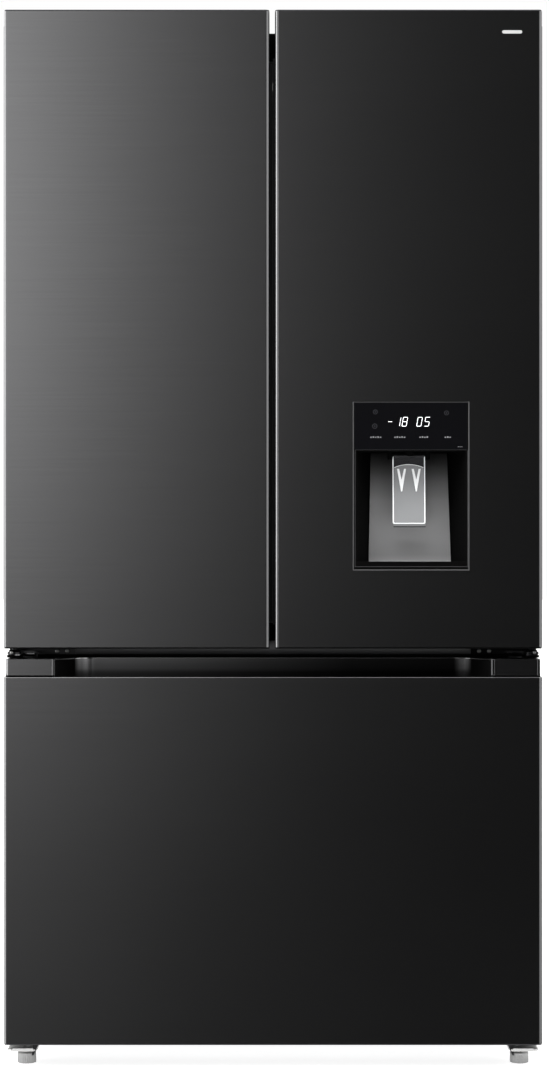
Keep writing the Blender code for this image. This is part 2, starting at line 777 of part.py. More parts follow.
def door_core(side, name):
    """Inner moulding of a door with its foam: end caps, a recessed field and raised side walls."""
    sheet = SHEET + GAP
    core = box(
        name,
        *sided(side, (DOOR_GAP_HALF + sheet, FRONT + sheet, DOOR_BOTTOM), (HALF - sheet, DOOR_INNER, HEIGHT)),
    )
    edge = BEND_RADIUS - SHEET
    for near in (DOOR_GAP_HALF + sheet, HALF - sheet):
        bend = sided(side, (near - edge, FRONT - 0.01, 0.6), (near + edge, FRONT + sheet + edge, 1.9))
        cut_box(core, "bend_room", *bend)
    low_x, high_x = DOOR_GAP_HALF + CAP_INSET, HALF - CAP_INSET
    for level in (DOOR_BOTTOM, HEIGHT - EDGE_CAP):
        top = level + EDGE_CAP
        front = (low_x + 0.0036, FRONT + 0.0005, level), (high_x - 0.0036, DOOR_INNER - 0.01, top)
        join_box(core, "end_cap", *sided(side, *front))
        whole = (low_x, FRONT + 0.004, level), (high_x, DOOR_INNER - 0.0015, top)
        join_box(core, "end_cap_edge", *sided(side, *whole))
    join_box(core, "door_walls", *sided(side, (0.060, DOOR_INNER - 0.005, 0.965), (0.400, -0.235, 1.700)))
    cut_box(core, "door_field", *sided(side, (0.088, DOOR_INNER - 0.0075, 0.980), (0.372, -0.20, 1.672)))
    cut_box(core, "core_notch", *notch(side))
    cut_box(
        core,
        "finger_pull",
        *sided(side, (0.080, FRONT + 0.0225, 0.60), (0.330, FRONT + 0.0555, DOOR_BOTTOM + 0.020)),
    )
    cut_round(core, "top_bore", 0.0056, (side * HINGE_X, HINGE_Y, 1.742), (side * HINGE_X, HINGE_Y, 1.80))
    cut_round(core, "low_bore", 0.0056, (side * HINGE_X, HINGE_Y, 0.60), (side * HINGE_X, HINGE_Y, 0.730))
    return core


def bin_lugs(core, side, levels):
    """Lugs on the door's inner walls that a bin stands on."""
    for level in levels:
        for near in (0.0865, 0.3640):
            join_box(
                core,
                "bin_lug",
                *sided(side, (near, -0.2985, level - 0.012), (near + 0.0095, -0.2500, level - GAP)),
            )


def left_door_liner():
    """Inner side of the left door, with the two lugs that carry the mullion."""
    core = door_core(-1, "left_door_liner")
    bin_lugs(core, -1, LEFT_BIN_LEVELS)
    for low, high in ((0.7475, 0.7517), (1.7183, 1.7225)):
        join_box(core, "mullion_lug", (-0.053, DOOR_INNER - 0.003, low), (-0.035, -0.2635, high))
    return finish(core, WHITE_PLASTIC)


def right_door_liner():
    """Inner side of the right door, with a bulge behind the dispenser."""
    core = door_core(1, "right_door_liner")
    bin_lugs(core, 1, (RIGHT_BIN_LEVEL, TANK_Z[0]))
    join_box(core, "bulge", (0.110, -0.2950, 0.815), (0.360, -0.240, 1.150))
    cut_box(core, "housing_room", (0.1359, -0.40, 0.8433), (0.3307, -0.2697, 1.1262))
    return finish(core, WHITE_PLASTIC)


def right_door_skin():
    """Sheet of the right door with the dispenser's window."""
    skin = door_skin(1, "right_door_skin")
    cut_box(
        skin,
        "window",
        (FRAME_X[0] - GAP, FRONT - 0.01, FRAME_Z[0] - GAP),
        (FRAME_X[1] + GAP, FRONT + 0.01, FRAME_Z[1] + GAP),
    )
    return finish(skin, DARK_STEEL)


def gasket(name, low, high):
    """Ring of magnetic seal on the inner side of a door."""
    front, back = DOOR_INNER + GAP, CABINET_FRONT - GAP
    ring = box(name, (low[0], front, low[1]), (high[0], back, high[1]))
    cut_box(
        ring,
        name + "_inside",
        (low[0] + 0.018, front - 0.02, low[1] + 0.018),
        (high[0] - 0.018, back + 0.02, high[1] - 0.018),
    )
    return finish(ring, BLACK_RUBBER)


def mullion():
    """Folding strip behind the gap, carried by the left door."""
    back = CABINET_FRONT + 0.018
    left, right = -0.048, -0.0008
    front = [(left, CABINET_FRONT), (right, CABINET_FRONT)]
    outline = front + [(right, back - 0.008), (right - 0.009, back), (left, back)]
    strip = plate("mullion", outline, 0.752, 1.718)
    return finish(strip, BLACK_PLASTIC)


# ---------------------------------------------------------------- dispenser


def splash_y(z):
    """Depth of the splash plate's face at a height: it leans back towards its top."""
    low, high = FRONT + 0.057, FRONT + 0.084
    return low + (high - low) * (z - NICHE_Z[0]) / (NICHE_Z[1] - NICHE_Z[0])


def tapered_block(name, front_y, deeper, clearance):
    """A block from the niche's mouth to its leaning back, narrower at the back."""
    mesh = bpy.data.meshes.new(name)
    work = bmesh.new()
    bmesh.ops.create_cube(work, size=1.0)
    for vertex in work.verts:
        right, rear, up = (value > 0 for value in vertex.co)
        z = NICHE_Z[up] - (clearance if up else -clearance)
        if rear:
            edges = (0.1628, 0.3059) if not up else (0.1673, 0.3010)
            y = splash_y(z) + deeper
        else:
            edges = NICHE_X
            y = front_y
        x = edges[right] + (-clearance if right else clearance)
        vertex.co = (x, y, z)
    work.to_mesh(mesh)
    work.free()
    return add_cutter(name, mesh, (0, 0, 0))


def dispenser_housing():
    """Moulded housing with a thin frame, the niche, the panel's seat, the spout and the lever's lugs."""
    housing = box("dispenser_housing", (0.1362, FRONT + 0.001, 0.8436), (0.3304, -0.2700, 1.1259))
    join_box(
        housing, "frame", (FRAME_X[0], FRONT, FRAME_Z[0]), (FRAME_X[1], FRONT + SHEET, FRAME_Z[1])
    )
    use(housing, tapered_block("niche", FRONT - 0.001, 0.0031, 0.0), "DIFFERENCE")
    cut_box(
        housing,
        "panel_seat",
        (PANEL_X[0] - GAP, FRONT - 0.01, PANEL_Z[0] - GAP),
        (PANEL_X[1] + GAP, FRONT + 0.0037, PANEL_Z[1] + GAP),
    )
    x, y, z = LEVER_PIVOT
    join_round(housing, "spout", 0.0085, (x, FRONT + 0.024, 1.030), (x, FRONT + 0.024, 1.0455), 16)
    for near in (x - 0.0360, x + 0.0285):
        join_box(housing, "lever_lug", (near, y - 0.006, z - 0.006), (near + 0.0075, y + 0.006, 1.0455))
    return finish(housing, BLACK_PLASTIC)


def control_panel():
    """Gloss black panel above the niche."""
    panel = box(
        "control_panel", (PANEL_X[0], FRONT + 0.0004, PANEL_Z[0]), (PANEL_X[1], FRONT + 0.0034, PANEL_Z[1])
    )
    round_edges(panel, 0.0006, 1)
    return finish(panel, BLACK_GLASS)


def splash_plate():
    """Grey plate that leans against the niche's back."""
    mesh = bpy.data.meshes.new("splash_plate")
    work = bmesh.new()
    bmesh.ops.create_cube(work, size=1.0)
    for vertex in work.verts:
        right, rear, up = (value > 0 for value in vertex.co)
        z = NICHE_Z[up] - (GAP if up else -GAP)
        edges = (0.1640, 0.3047) if not up else (0.1685, 0.2998)
        vertex.co = (edges[right], splash_y(z) + (0.0028 if rear else 0.0003), z)
    work.to_mesh(mesh)
    work.free()
    return finish(add_object("splash_plate", mesh), GREY_PLASTIC)


def dispenser_lever():
    """Clear paddle on a cross rod; a glass pushed against it opens the tap."""
    x, y, z = LEVER_PIVOT
    paddle = plate(
        "dispenser_lever", rounded((x - 0.028, 0.920), (x + 0.028, z + 0.002), 0.008, 4), -0.0013, 0.0013, "Y"
    )
    lean = Matrix.Translation((0, y, z)) @ Matrix.Rotation(math.radians(-5.8), 4, "X")
    paddle.data.transform(lean @ Matrix.Translation((0, 0, -z)))
    join_round(paddle, "lever_rod", 0.003, (x - 0.0282, y, z), (x + 0.0282, y, z), 12)
    return finish(paddle, CLEAR_PLASTIC)


def water_tank():
    """Water tank above the dispenser, with a filling hole in its lid."""
    tank = plate("water_tank", rounded((0.0895, -0.2990), (0.3705, -0.188), 0.014, 3), *TANK_Z)
    cut_plate(
        tank,
        "tank_inside",
        rounded((0.0925, -0.2960), (0.3675, -0.191), 0.011, 3),
        TANK_Z[0] + 0.003,
        TANK_Z[1] - 0.003,
    )
    cut_box(tank, "fill_hole", (0.203, -0.252, 1.30), (0.257, -0.204, 1.36))
    return finish(tank, CLEAR_PLASTIC)


def water_tank_cap():
    """Flap over the filling hole."""
    left, right = 0.197, 0.263
    low_z = TANK_Z[1] + GAP
    _, hinge_y, hinge_z = TANK_CAP_HINGE
    cap = box("water_tank_cap", (left, -0.2615, low_z), (right, -0.1960, low_z + 0.0035))
    join_round(cap, "cap_barrel", 0.0021, (left, hinge_y, hinge_z + GAP), (right, hinge_y, hinge_z + GAP), 10)
    return finish(cap, BLACK_PLASTIC)


# ---------------------------------------------------------------- freezer drawer


def drawer_front_skin():
    """Brushed sheet of the drawer."""
    skin = bent_front("drawer_front_skin", -HALF, HALF, DRAWER_BOTTOM + EDGE_CAP + GAP, DRAWER_LIP)
    return finish(skin, DARK_STEEL)


def drawer_bend(side):
    """The room that a round bend of the drawer's sheet needs inside its corner."""
    near, edge = HALF - SHEET - GAP, BEND_RADIUS - SHEET
    return sided(side, (near - edge, -0.45, 0.0), (near + edge, FRONT + SHEET + GAP + edge, DRAWER_LIP))


def drawer_front_liner():
    """Inner moulding of the drawer's front with its foam and its lower cap."""
    sheet = SHEET + GAP
    core = box(
        "drawer_front_liner",
        (-HALF + sheet, FRONT + sheet, DRAWER_BOTTOM),
        (HALF - sheet, DOOR_INNER, DRAWER_TOP),
    )
    cut_box(core, "handle_room", (-0.5, -0.45, 0.6217), (0.5, FRONT + 0.0655, 0.75))
    for side in (-1, 1):
        cut_box(core, "bend_room", *drawer_bend(side))
    join_box(
        core,
        "low_cap",
        (-HALF + 0.004, FRONT + 0.0005, DRAWER_BOTTOM),
        (HALF - 0.004, DOOR_INNER - 0.01, DRAWER_BOTTOM + EDGE_CAP),
    )
    join_box(
        core,
        "low_cap_edge",
        (-HALF + CAP_INSET, FRONT + 0.004, DRAWER_BOTTOM),
        (HALF - CAP_INSET, DOOR_INNER - 0.0015, DRAWER_BOTTOM + EDGE_CAP),
    )
    return finish(core, WHITE_PLASTIC)


RECESS_HALF = 0.371
RECESS_DEPTH = 0.055
RECESS_FLANK = 37.5  # degrees, its end walls' slant away from straight back
RECESS_BEND = 0.040
RECESS_BEND_X = 0.309


def recess_outline(front_y):
    """The finger recess seen from above: slanted flanks that round into the back wall."""
    mouth = RECESS_HALF - (front_y - FRONT) * math.tan(math.radians(RECESS_FLANK))
    bend_y = FRONT + RECESS_DEPTH - RECESS_BEND
    return (
        [(-mouth, front_y), (mouth, front_y)]
        + arc((RECESS_BEND_X, bend_y), RECESS_BEND, RECESS_FLANK, 90, 5)
        + arc((-RECESS_BEND_X, bend_y), RECESS_BEND, 90, 180 - RECESS_FLANK, 5)
    )


def drawer_handle():
    """Finger recess along the drawer's top edge, between two end caps."""
    back = FRONT + 0.0652
    handle = box("drawer_handle", (-0.4530, FRONT + 0.0023, 0.6220), (0.4530, back, 0.6640))
    half, radius = HALF - 0.0010, 0.004
    caps = (
        arc((-half + radius, FRONT + radius), radius, 180, 270, 3)
        + arc((half - radius, FRONT + radius), radius, 270, 360, 3)
        + [(half, back), (-half, back)]
    )
    join_plate(handle, "caps", caps, DRAWER_LIP + GAP, DRAWER_TOP)
    for side in (-1, 1):
        cut_box(handle, "bend_room", *drawer_bend(side))
    cut_plate(handle, "recess", recess_outline(FRONT - 0.02), DRAWER_LIP - 0.0005, 0.75)
    cut_plate(handle, "pocket", recess_outline(FRONT + 0.0048), 0.634, 0.75)
    return finish(handle, DARK_STEEL)


def drawer_frame():
    """Side members of the slides with their cross bar; the basket hangs on the inner ledges."""
    back = 0.160
    frame = box("drawer_frame", (-0.3877, back - 0.010, 0.4400), (0.3877, back, 0.4620))
    for side in (-1, 1):
        join_box(frame, "side_bar", *sided(side, (0.3817, DOOR_INNER + GAP, 0.4195), (0.3877, back, 0.4620)))
        join_box(frame, "ledge", *sided(side, (0.3690, DOOR_INNER + GAP, 0.4195), (0.3830, 0.085, 0.4235)))
    return finish(frame, ZINC)


def drawer_basket():
    """Large tub of the freezer drawer, hanging on its rim."""
    tub = open_tray("drawer_basket", (-0.365, -0.245, 0.105), (0.365, 0.085, 0.430), 0.0035, CLEAR_PLASTIC)
    for side in (-1, 1):
        join_box(tub, "rim", *sided(side, (0.3630, -0.225, 0.4240), (0.3805, 0.065, 0.4300)))
    return tub


def upper_tray():
    """Shallow tray that runs on the drawer's side members."""
    tray = open_tray("upper_tray", (-0.365, -0.245, 0.4680), (0.365, 0.085, 0.5750), 0.0035, CLEAR_PLASTIC)
    for side in (-1, 1):
        join_box(tray, "runner", *sided(side, (0.3630, -0.225, 0.4625), (0.3870, 0.065, 0.4740)))
    return tray


def slide(side, name):
    """Middle member of a telescopic slide."""
    member = box(name, *sided(side, (0.3889, RUNNER_Y[0], 0.4300), (0.3941, RUNNER_Y[1], 0.4600)))
    return finish(member, ZINC)


# ---------------------------------------------------------------- the refrigerator


def build_cabinet():
    """Every fixed piece of the cabinet, and the pieces that turn or slide in it."""
    cabinet_shell()
    rear_panel()
    base_pan()
    fridge_liner()
    freezer_liner()
    insulation_foam()
    for side, word in ((-1, "left"), (1, "right")):
        top_hinge(side, word + "_top_hinge")
        hinge_cover(side, word + "_hinge_cover")
        middle_hinge(side, word + "_middle_hinge")
        foot_bracket(side, word + "_foot_bracket")
        cabinet_rail(side, word + "_cabinet_rail")
        front_foot(side, word + "_front_foot")
        rear_wheel(side, word + "_rear_wheel")
        pivot(word + "_crisper_slide", (side * 0.2, 0, 0.8), [crisper(side, word + "_crisper")])
        pivot(word + "_slide_travel", (side * 0.39, 0, 0.445), [slide(side, word + "_slide")])
    shelf("upper_shelf", UPPER_SHELF_Z)
    shelf("lower_shelf", LOWER_SHELF_Z)
    shelf("crisper_cover", COVER_Z)
    air_duct_cover()
    evaporator_cover()
    evaporator()
    compressor()
    condenser()
    fan_shroud()
    machine_cover()
    fan("evaporator_fan", (0, 0.218, FAN_CENTRE_Z), 0.048, 0.015, "Y", 0.012)
    fan("condenser_fan", CONDENSER_FAN_CENTRE, 0.068, 0.020, "X", 0.014)


def build_left_door():
    """The left door, its bins and the mullion that folds with it."""
    strip = mullion()
    parts = [
        finish(door_skin(-1, "left_door_skin"), DARK_STEEL),
        left_door_liner(),
        gasket("left_door_gasket", (-0.424, 0.7125), (-0.012, 1.762)),
    ]
    for word, level in zip(("lower", "middle", "upper"), LEFT_BIN_LEVELS):
        parts.append(door_bin("left_" + word + "_bin", -1, level))
    door = pivot("left_door_hinge", (-HINGE_X, HINGE_Y, 0), parts)
    fold = pivot("mullion_hinge", (*MULLION_PIVOT, 0), [strip])
    fold.parent = door
    fold.matrix_parent_inverse = Matrix.Translation(door.location).inverted()


def build_right_door():
    """The right door with its dispenser, tank and bin."""
    lever = dispenser_lever()
    cap = water_tank_cap()
    parts = [
        right_door_skin(),
        right_door_liner(),
        gasket("right_door_gasket", (0.012, 0.7125), (0.424, 1.762)),
        door_bin("right_upper_bin", 1, RIGHT_BIN_LEVEL),
        dispenser_housing(),
        control_panel(),
        splash_plate(),
        water_tank(),
    ]
    door = pivot("right_door_hinge", (HINGE_X, HINGE_Y, 0), parts)
    for turning in (
        pivot("lever_hinge", LEVER_PIVOT, [lever]),
        pivot("tank_cap_hinge", TANK_CAP_HINGE, [cap]),
    ):
        turning.parent = door
        turning.matrix_parent_inverse = Matrix.Translation(door.location).inverted()


def build_drawer():
    """The freezer drawer with its basket and its upper tray."""
    tray = upper_tray()
    parts = [
        drawer_front_skin(),
        drawer_front_liner(),
        gasket("drawer_gasket", (-0.424, 0.052), (0.424, 0.6895)),
        drawer_handle(),
        drawer_frame(),
        drawer_basket(),
    ]
    drawer = pivot("drawer_slide", (0, FRONT, 0.35), parts)
    travel = pivot("tray_slide", (0, -0.08, 0.47), [tray])
    travel.parent = drawer
    travel.matrix_parent_inverse = Matrix.Translation(drawer.location).inverted()


for old in list(bpy.data.objects):
    bpy.data.objects.remove(old)
PARTS = new_collection("french_door_refrigerator")
CUTTERS = new_collection("cutters")
build_cabinet()
build_left_door()
build_right_door()
build_drawer()
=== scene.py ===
"""French door refrigerator: the detailed visual model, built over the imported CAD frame.

Metres, +Z up, front facing -Y. Right is +X, as seen from the front.
"""

import math

import bmesh
import bpy
from mathutils import Matrix, Vector


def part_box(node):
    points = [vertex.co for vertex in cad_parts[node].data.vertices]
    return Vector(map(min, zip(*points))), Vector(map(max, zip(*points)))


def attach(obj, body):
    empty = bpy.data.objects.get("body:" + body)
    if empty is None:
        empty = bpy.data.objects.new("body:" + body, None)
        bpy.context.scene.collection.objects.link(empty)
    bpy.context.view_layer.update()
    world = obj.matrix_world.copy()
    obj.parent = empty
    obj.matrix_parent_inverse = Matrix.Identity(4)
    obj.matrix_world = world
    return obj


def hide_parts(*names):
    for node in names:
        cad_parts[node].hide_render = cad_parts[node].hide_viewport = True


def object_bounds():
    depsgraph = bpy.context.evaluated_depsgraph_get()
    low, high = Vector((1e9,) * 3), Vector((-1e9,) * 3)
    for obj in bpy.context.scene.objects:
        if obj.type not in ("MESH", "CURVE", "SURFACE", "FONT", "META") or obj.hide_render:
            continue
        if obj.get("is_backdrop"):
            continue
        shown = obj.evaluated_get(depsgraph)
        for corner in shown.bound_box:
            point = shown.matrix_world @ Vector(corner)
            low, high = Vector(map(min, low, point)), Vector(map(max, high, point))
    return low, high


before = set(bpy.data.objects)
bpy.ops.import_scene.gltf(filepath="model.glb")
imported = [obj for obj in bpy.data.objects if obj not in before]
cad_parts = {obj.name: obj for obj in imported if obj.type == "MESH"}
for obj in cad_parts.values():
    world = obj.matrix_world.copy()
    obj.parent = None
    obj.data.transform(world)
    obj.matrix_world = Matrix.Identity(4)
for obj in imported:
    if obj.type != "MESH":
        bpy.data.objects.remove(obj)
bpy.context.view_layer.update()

# Planes and edges that several pieces share, from the CAD nodes' boxes
SKIN_LOW, SKIN_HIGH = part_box("right_door_skin")
LINER_LOW, LINER_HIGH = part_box("right_door_liner")
DRAWER_LOW, DRAWER_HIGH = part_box("drawer_front_skin")
HANDLE_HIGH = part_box("drawer_handle")[1]
PANEL_LOW, PANEL_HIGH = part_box("control_panel")
FRONT = SKIN_LOW.y
DOOR_INNER = LINER_LOW.y + 0.0745
CABINET_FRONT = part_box("cabinet_shell")[0].y
PANEL_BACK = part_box("rear_panel")[1].y
SHEET = 0.002
BEND = 0.006
# How far the right door's sheet passes its CAD node's edge, towards the left door
RIGHT_REACH = 0.0028
SIDES = {"left": -1, "right": 1}


# ---------------- shader nodes


def put(tree, kind, inputs=None, **settings):
    """A shader node. Each input is a plain value or another node's output."""
    made = tree.nodes.new("ShaderNode" + kind)
    for key, value in settings.items():
        setattr(made, key, value)
    for key, value in (inputs or {}).items():
        if isinstance(value, bpy.types.NodeSocket):
            tree.links.new(value, made.inputs[key])
        else:
            made.inputs[key].default_value = value
    return made


def sum_of(tree, operation, first, second=0.0, third=0.0):
    """The output of one step of arithmetic."""
    return put(tree, "Math", {0: first, 1: second, 2: third}, operation=operation).outputs[0]


def ramp_of(tree, factor, stops):
    """A grey value along a ramp of (position, value) stops."""
    made = put(tree, "ValToRGB", {"Fac": factor})
    ramp = made.color_ramp
    while len(ramp.elements) < len(stops):
        ramp.elements.new(0.5)
    for element, (position, value) in zip(ramp.elements, stops):
        element.position = position
        element.color = (value, value, value, 1.0)
    return made.outputs["Color"]


def mixed(tree, factor, first, second):
    """A colour between two others, each a plain colour or another node's output."""
    first, second = (c if isinstance(c, bpy.types.NodeSocket) else (*c, 1.0) for c in (first, second))
    return put(tree, "Mix", {0: factor, 6: first, 7: second}, data_type="RGBA").outputs[2]


def shaded(colour, share):
    """A colour made darker or lighter."""
    return tuple(min(1.0, channel * share) for channel in colour)


def stretched(tree, scale):
    """The object's own coordinates in metres, stretched along the axes."""
    place = put(tree, "TexCoord").outputs["Object"]
    return put(tree, "Mapping", {"Vector": place, "Scale": scale}).outputs["Vector"]


def noise(tree, scale, detail, **inputs):
    """Soft noise with its repeats per metre along each axis."""
    return put(
        tree, "TexNoise", {"Vector": stretched(tree, scale), "Scale": 1.0, "Detail": detail, **inputs}
    ).outputs["Fac"]


def blend_of(tree, first, share, second):
    """Two values added, the first with its share."""
    first, second = sum_of(tree, "MULTIPLY", first, share), sum_of(tree, "MULTIPLY", second, 1.0 - share)
    return sum_of(tree, "ADD", first, second)


def span_of(tree, value, low, high):
    """A value from 0 to 1 spread between two others."""
    return put(tree, "MapRange", {"Value": value, "To Min": low, "To Max": high}).outputs["Result"]


def bump_of(tree, height, strength, distance):
    """A normal from a height."""
    inputs = {"Height": height, "Strength": strength, "Distance": distance}
    return put(tree, "Bump", inputs).outputs["Normal"]


def own_place(tree):
    """The outputs of a place in the piece's own box, from 0 to 1 along each axis."""
    place = put(tree, "TexCoord").outputs["Generated"]
    return put(tree, "SeparateXYZ", {"Vector": place}).outputs


def new_material(name):
    """An empty material and its tree."""
    made = bpy.data.materials.new(name)
    made.use_nodes = True
    made.node_tree.nodes.clear()
    return made, made.node_tree


def finished(made, tree, inputs):
    """The material with its shader and output."""
    shader = put(tree, "BsdfPrincipled", inputs)
    put(tree, "OutputMaterial", {"Surface": shader.outputs["BSDF"]})
    return made


def surface(
    name, colour, roughness, metallic=0.0, grain=600.0, tint=0.06, uneven=0.08, relief=0.00002,
    patches=9.0, wear=0.0, **direct,
):
    """A material whose colour, roughness and relief vary with fine grain and with broad soft patches.

    grain is the fine pattern's repeats per metre, along each axis or for all three, tint and uneven are
    its shares of the colour and roughness, relief is its height in metres, and wear lightens the edges.
    """
    made, tree = new_material(name)
    fine = noise(tree, grain if isinstance(grain, tuple) else (grain,) * 3, 3.0)
    both = blend_of(tree, fine, 0.7, noise(tree, (patches,) * 3, 2.0))
    tone = mixed(tree, both, shaded(colour, 1.0 - tint), shaded(colour, 1.0 + tint))
    if wear:
        bevel = put(tree, "Bevel", {"Radius": 0.0012}, samples=4).outputs["Normal"]
        normal = put(tree, "NewGeometry").outputs["Normal"]
        turned = put(tree, "VectorMath", {0: bevel, 1: normal}, operation="DOT_PRODUCT").outputs["Value"]
        limits = {"Value": turned, "From Min": 0.98, "From Max": 0.8, "To Min": 0.0, "To Max": wear}
        edge = put(tree, "MapRange", limits).outputs["Result"]
        tone = mixed(tree, edge, tone, tuple(min(1.0, channel * 1.6 + 0.05) for channel in colour))
    rough = span_of(tree, both, roughness * (1.0 - uneven), min(1.0, roughness * (1.0 + uneven)))
    inputs = {"Base Color": tone, "Roughness": rough, "Metallic": metallic}
    if relief:
        inputs["Normal"] = bump_of(tree, fine, 0.6, relief)
    inputs.update((key.replace("_", " "), value) for key, value in direct.items())
    return finished(made, tree, inputs)


def painted_shade_plastic(name, colour, roughness, upward):
    """Satin plastic darkened along a ramp over the piece's own height: painted shade."""
    made, tree = new_material(name)
    tint = ramp_of(tree, own_place(tree)["Z"], upward)
    tone = mixed(tree, tint, shaded(colour, 0.0), colour)
    return finished(made, tree, {"Base Color": tone, "Roughness": roughness})


def brushed_steel(name, grey, blue, roughness, anisotropic, across=None, upward=None):
    """Dark steel brushed along X, with faint streaks in its colour and roughness.

    across and upward are ramps of painted light and shade, multiplied into its colour over the piece's own
    width and height.
    """
    made, tree = new_material(name)
    colour = (grey, grey, blue)
    streaks = noise(tree, (5.0, 40.0, 1400.0), 4.0, Roughness=0.6)
    clouds = noise(tree, (2.5, 2.5, 4.0), 1.0)
    tone = mixed(tree, streaks, shaded(colour, 0.86), shaded(colour, 1.14))
    # Painted light and shade: the ramps scale the colour across and up the piece.
    if across:
        split = own_place(tree)
        ramps = ramp_of(tree, split["X"], across), ramp_of(tree, split["Z"], upward)
        tint = sum_of(tree, "MULTIPLY", *ramps)
        tone = put(tree, "VectorMath", {0: tone, "Scale": tint}, operation="SCALE").outputs["Vector"]
    uneven = blend_of(tree, streaks, 0.6, clouds)
    inputs = {
        "Base Color": tone,
        "Roughness": span_of(tree, uneven, roughness * 0.92, roughness * 1.08),
        "Normal": bump_of(tree, streaks, 0.25, 0.000004),
        "Tangent": put(tree, "Tangent", direction_type="RADIAL", axis="Z").outputs["Tangent"],
        "Metallic": 1.0,
        "Anisotropic": anisotropic,
        "Anisotropic Rotation": 0.25,
    }
    return finished(made, tree, inputs)


def galvanised(name, colour, roughness):
    """Zinc-coated sheet with its crystal spangle."""
    made, tree = new_material(name)
    cells = put(tree, "TexVoronoi", {"Vector": stretched(tree, (90.0,) * 3), "Scale": 1.0})
    tone = put(tree, "RGBToBW", {"Color": cells.outputs["Color"]}).outputs["Val"]
    inputs = {
        "Base Color": mixed(tree, tone, shaded(colour, 0.82), shaded(colour, 1.12)),
        "Roughness": span_of(tree, tone, roughness * 0.8, roughness * 1.25),
        "Normal": bump_of(tree, tone, 0.3, 0.00002),
        "Metallic": 0.9,
    }
    return finished(made, tree, inputs)


def clear(name, colour, roughness, transmission, ior=1.5):
    """Clear plastic or glass with faint haze and moulding waves."""
    direct = {"Transmission_Weight": transmission, "IOR": ior}
    return surface(name, colour, roughness, 0.0, 60.0, 0.02, 0.4, 0.00004, 4.0, **direct)


def glowing(name, strength):
    """A lit sign: white light with slightly uneven brightness."""
    glow = (0.95, 0.97, 1.0)
    return surface(
        name, glow, 0.4, tint=0.03, relief=0.0, Emission_Color=(*glow, 1.0), Emission_Strength=strength
    )


STEEL = brushed_steel("dark_brushed_steel", 0.345, 0.35, 0.2, 0.7)
# The recess mirrors a dark room. Its colour carries painted light: painted reflections as a bright streak
# at the bend near either end, and painted shade that darkens it towards the right and towards its floor.
RECESS_PAINTED_LIGHT_ACROSS = [
    (0.0, 0.03), (0.012, 0.05), (0.026, 0.85), (0.042, 1.1), (0.05, 2.9), (0.056, 1.6), (0.064, 1.15),
    (0.095, 1.2), (0.29, 0.92), (0.488, 0.47), (0.685, 0.18), (0.944, 0.11), (0.9526, 0.2), (0.9625, 0.68),
    (0.9673, 0.66), (0.9722, 0.22), (0.9821, 0.06), (1.0, 0.03),
]
RECESS_PAINTED_LIGHT_UPWARD = [
    (0.5, 0.26), (0.58, 0.33), (0.64, 0.57), (0.7, 0.84), (0.82, 1.04), (0.93, 1.35), (1.0, 1.35),
]
RECESS_STEEL_PAINTED_LIGHT = brushed_steel("recess_steel_painted_light", 0.175, 0.178, 0.3, 0.3, RECESS_PAINTED_LIGHT_ACROSS, RECESS_PAINTED_LIGHT_UPWARD)
# The rim along the recess's top edge is a lighter copy of the steel, a painted highlight, dimmed at its
# ends by painted shade, most at the right.
RIM_PAINTED_SHADE_ACROSS = [(0.0, 0.4), (0.05, 1.0), (0.9, 1.0), (0.93, 0.3), (0.97, 0.15), (1.0, 0.15)]
RIM_STEEL_PAINTED_HIGHLIGHT = brushed_steel("rim_steel_painted_highlight", 0.6, 0.605, 0.2, 0.7, RIM_PAINTED_SHADE_ACROSS, [(0.0, 1.0), (1.0, 1.0)])
HINGE_STEEL = brushed_steel("hinge_steel", 0.07, 0.072, 0.3, 0.3)
# A darker copy of hinge_steel for the right side's hinge parts: painted shade.
SHADED_STEEL = brushed_steel("shaded_hinge_steel", 0.02, 0.021, 0.32, 0.3)
PAINT = surface("cabinet_paint", (0.06, 0.06, 0.063), 0.42, 0.0, 900.0, 0.1, 0.1, 0.00003)
CAP_PLASTIC = surface("door_cap_plastic", (0.03, 0.03, 0.032), 0.42, 0.0, 1500.0, 0.1, 0.12, 0.00003)
WHITE = surface("white_moulding", (0.46, 0.47, 0.48), 0.33, 0.0, 500.0, 0.015, 0.15)
BASKET_WHITE = surface("tray_plastic", (0.46, 0.49, 0.51), 0.36, 0.0, 700.0, 0.02, 0.12)
GASKET = surface("gasket_rubber", (0.06, 0.06, 0.062), 0.62, 0.0, 1200.0, 0.12, 0.1, 0.00003)
BLACK = surface("black_plastic", (0.016, 0.016, 0.017), 0.34, 0.0, 1300.0, 0.15, 0.12)
NICHE_BLACK = surface(
    "niche_plastic", (0.0012,) * 3, 0.75, 0.0, 1300.0, 0.15, 0.12, Specular_IOR_Level=0.05
)
GLOSS_BLACK = surface(
    "panel_glass", (0.0025, 0.0025, 0.003), 0.07, 0.0, 60.0, 0.1, 0.3, 0.0, Specular_IOR_Level=0.16
)
BRUSHED = (40.0, 40.0, 1600.0)
TRIM_METAL = surface("frame_metal", (0.19, 0.19, 0.192), 0.42, 0.8, BRUSHED, 0.05, 0.1, 0.000005)
TRIM_DARK = surface("dark_trim", (0.075, 0.075, 0.077), 0.42, 0.8, BRUSHED, 0.05, 0.1, 0.000005)
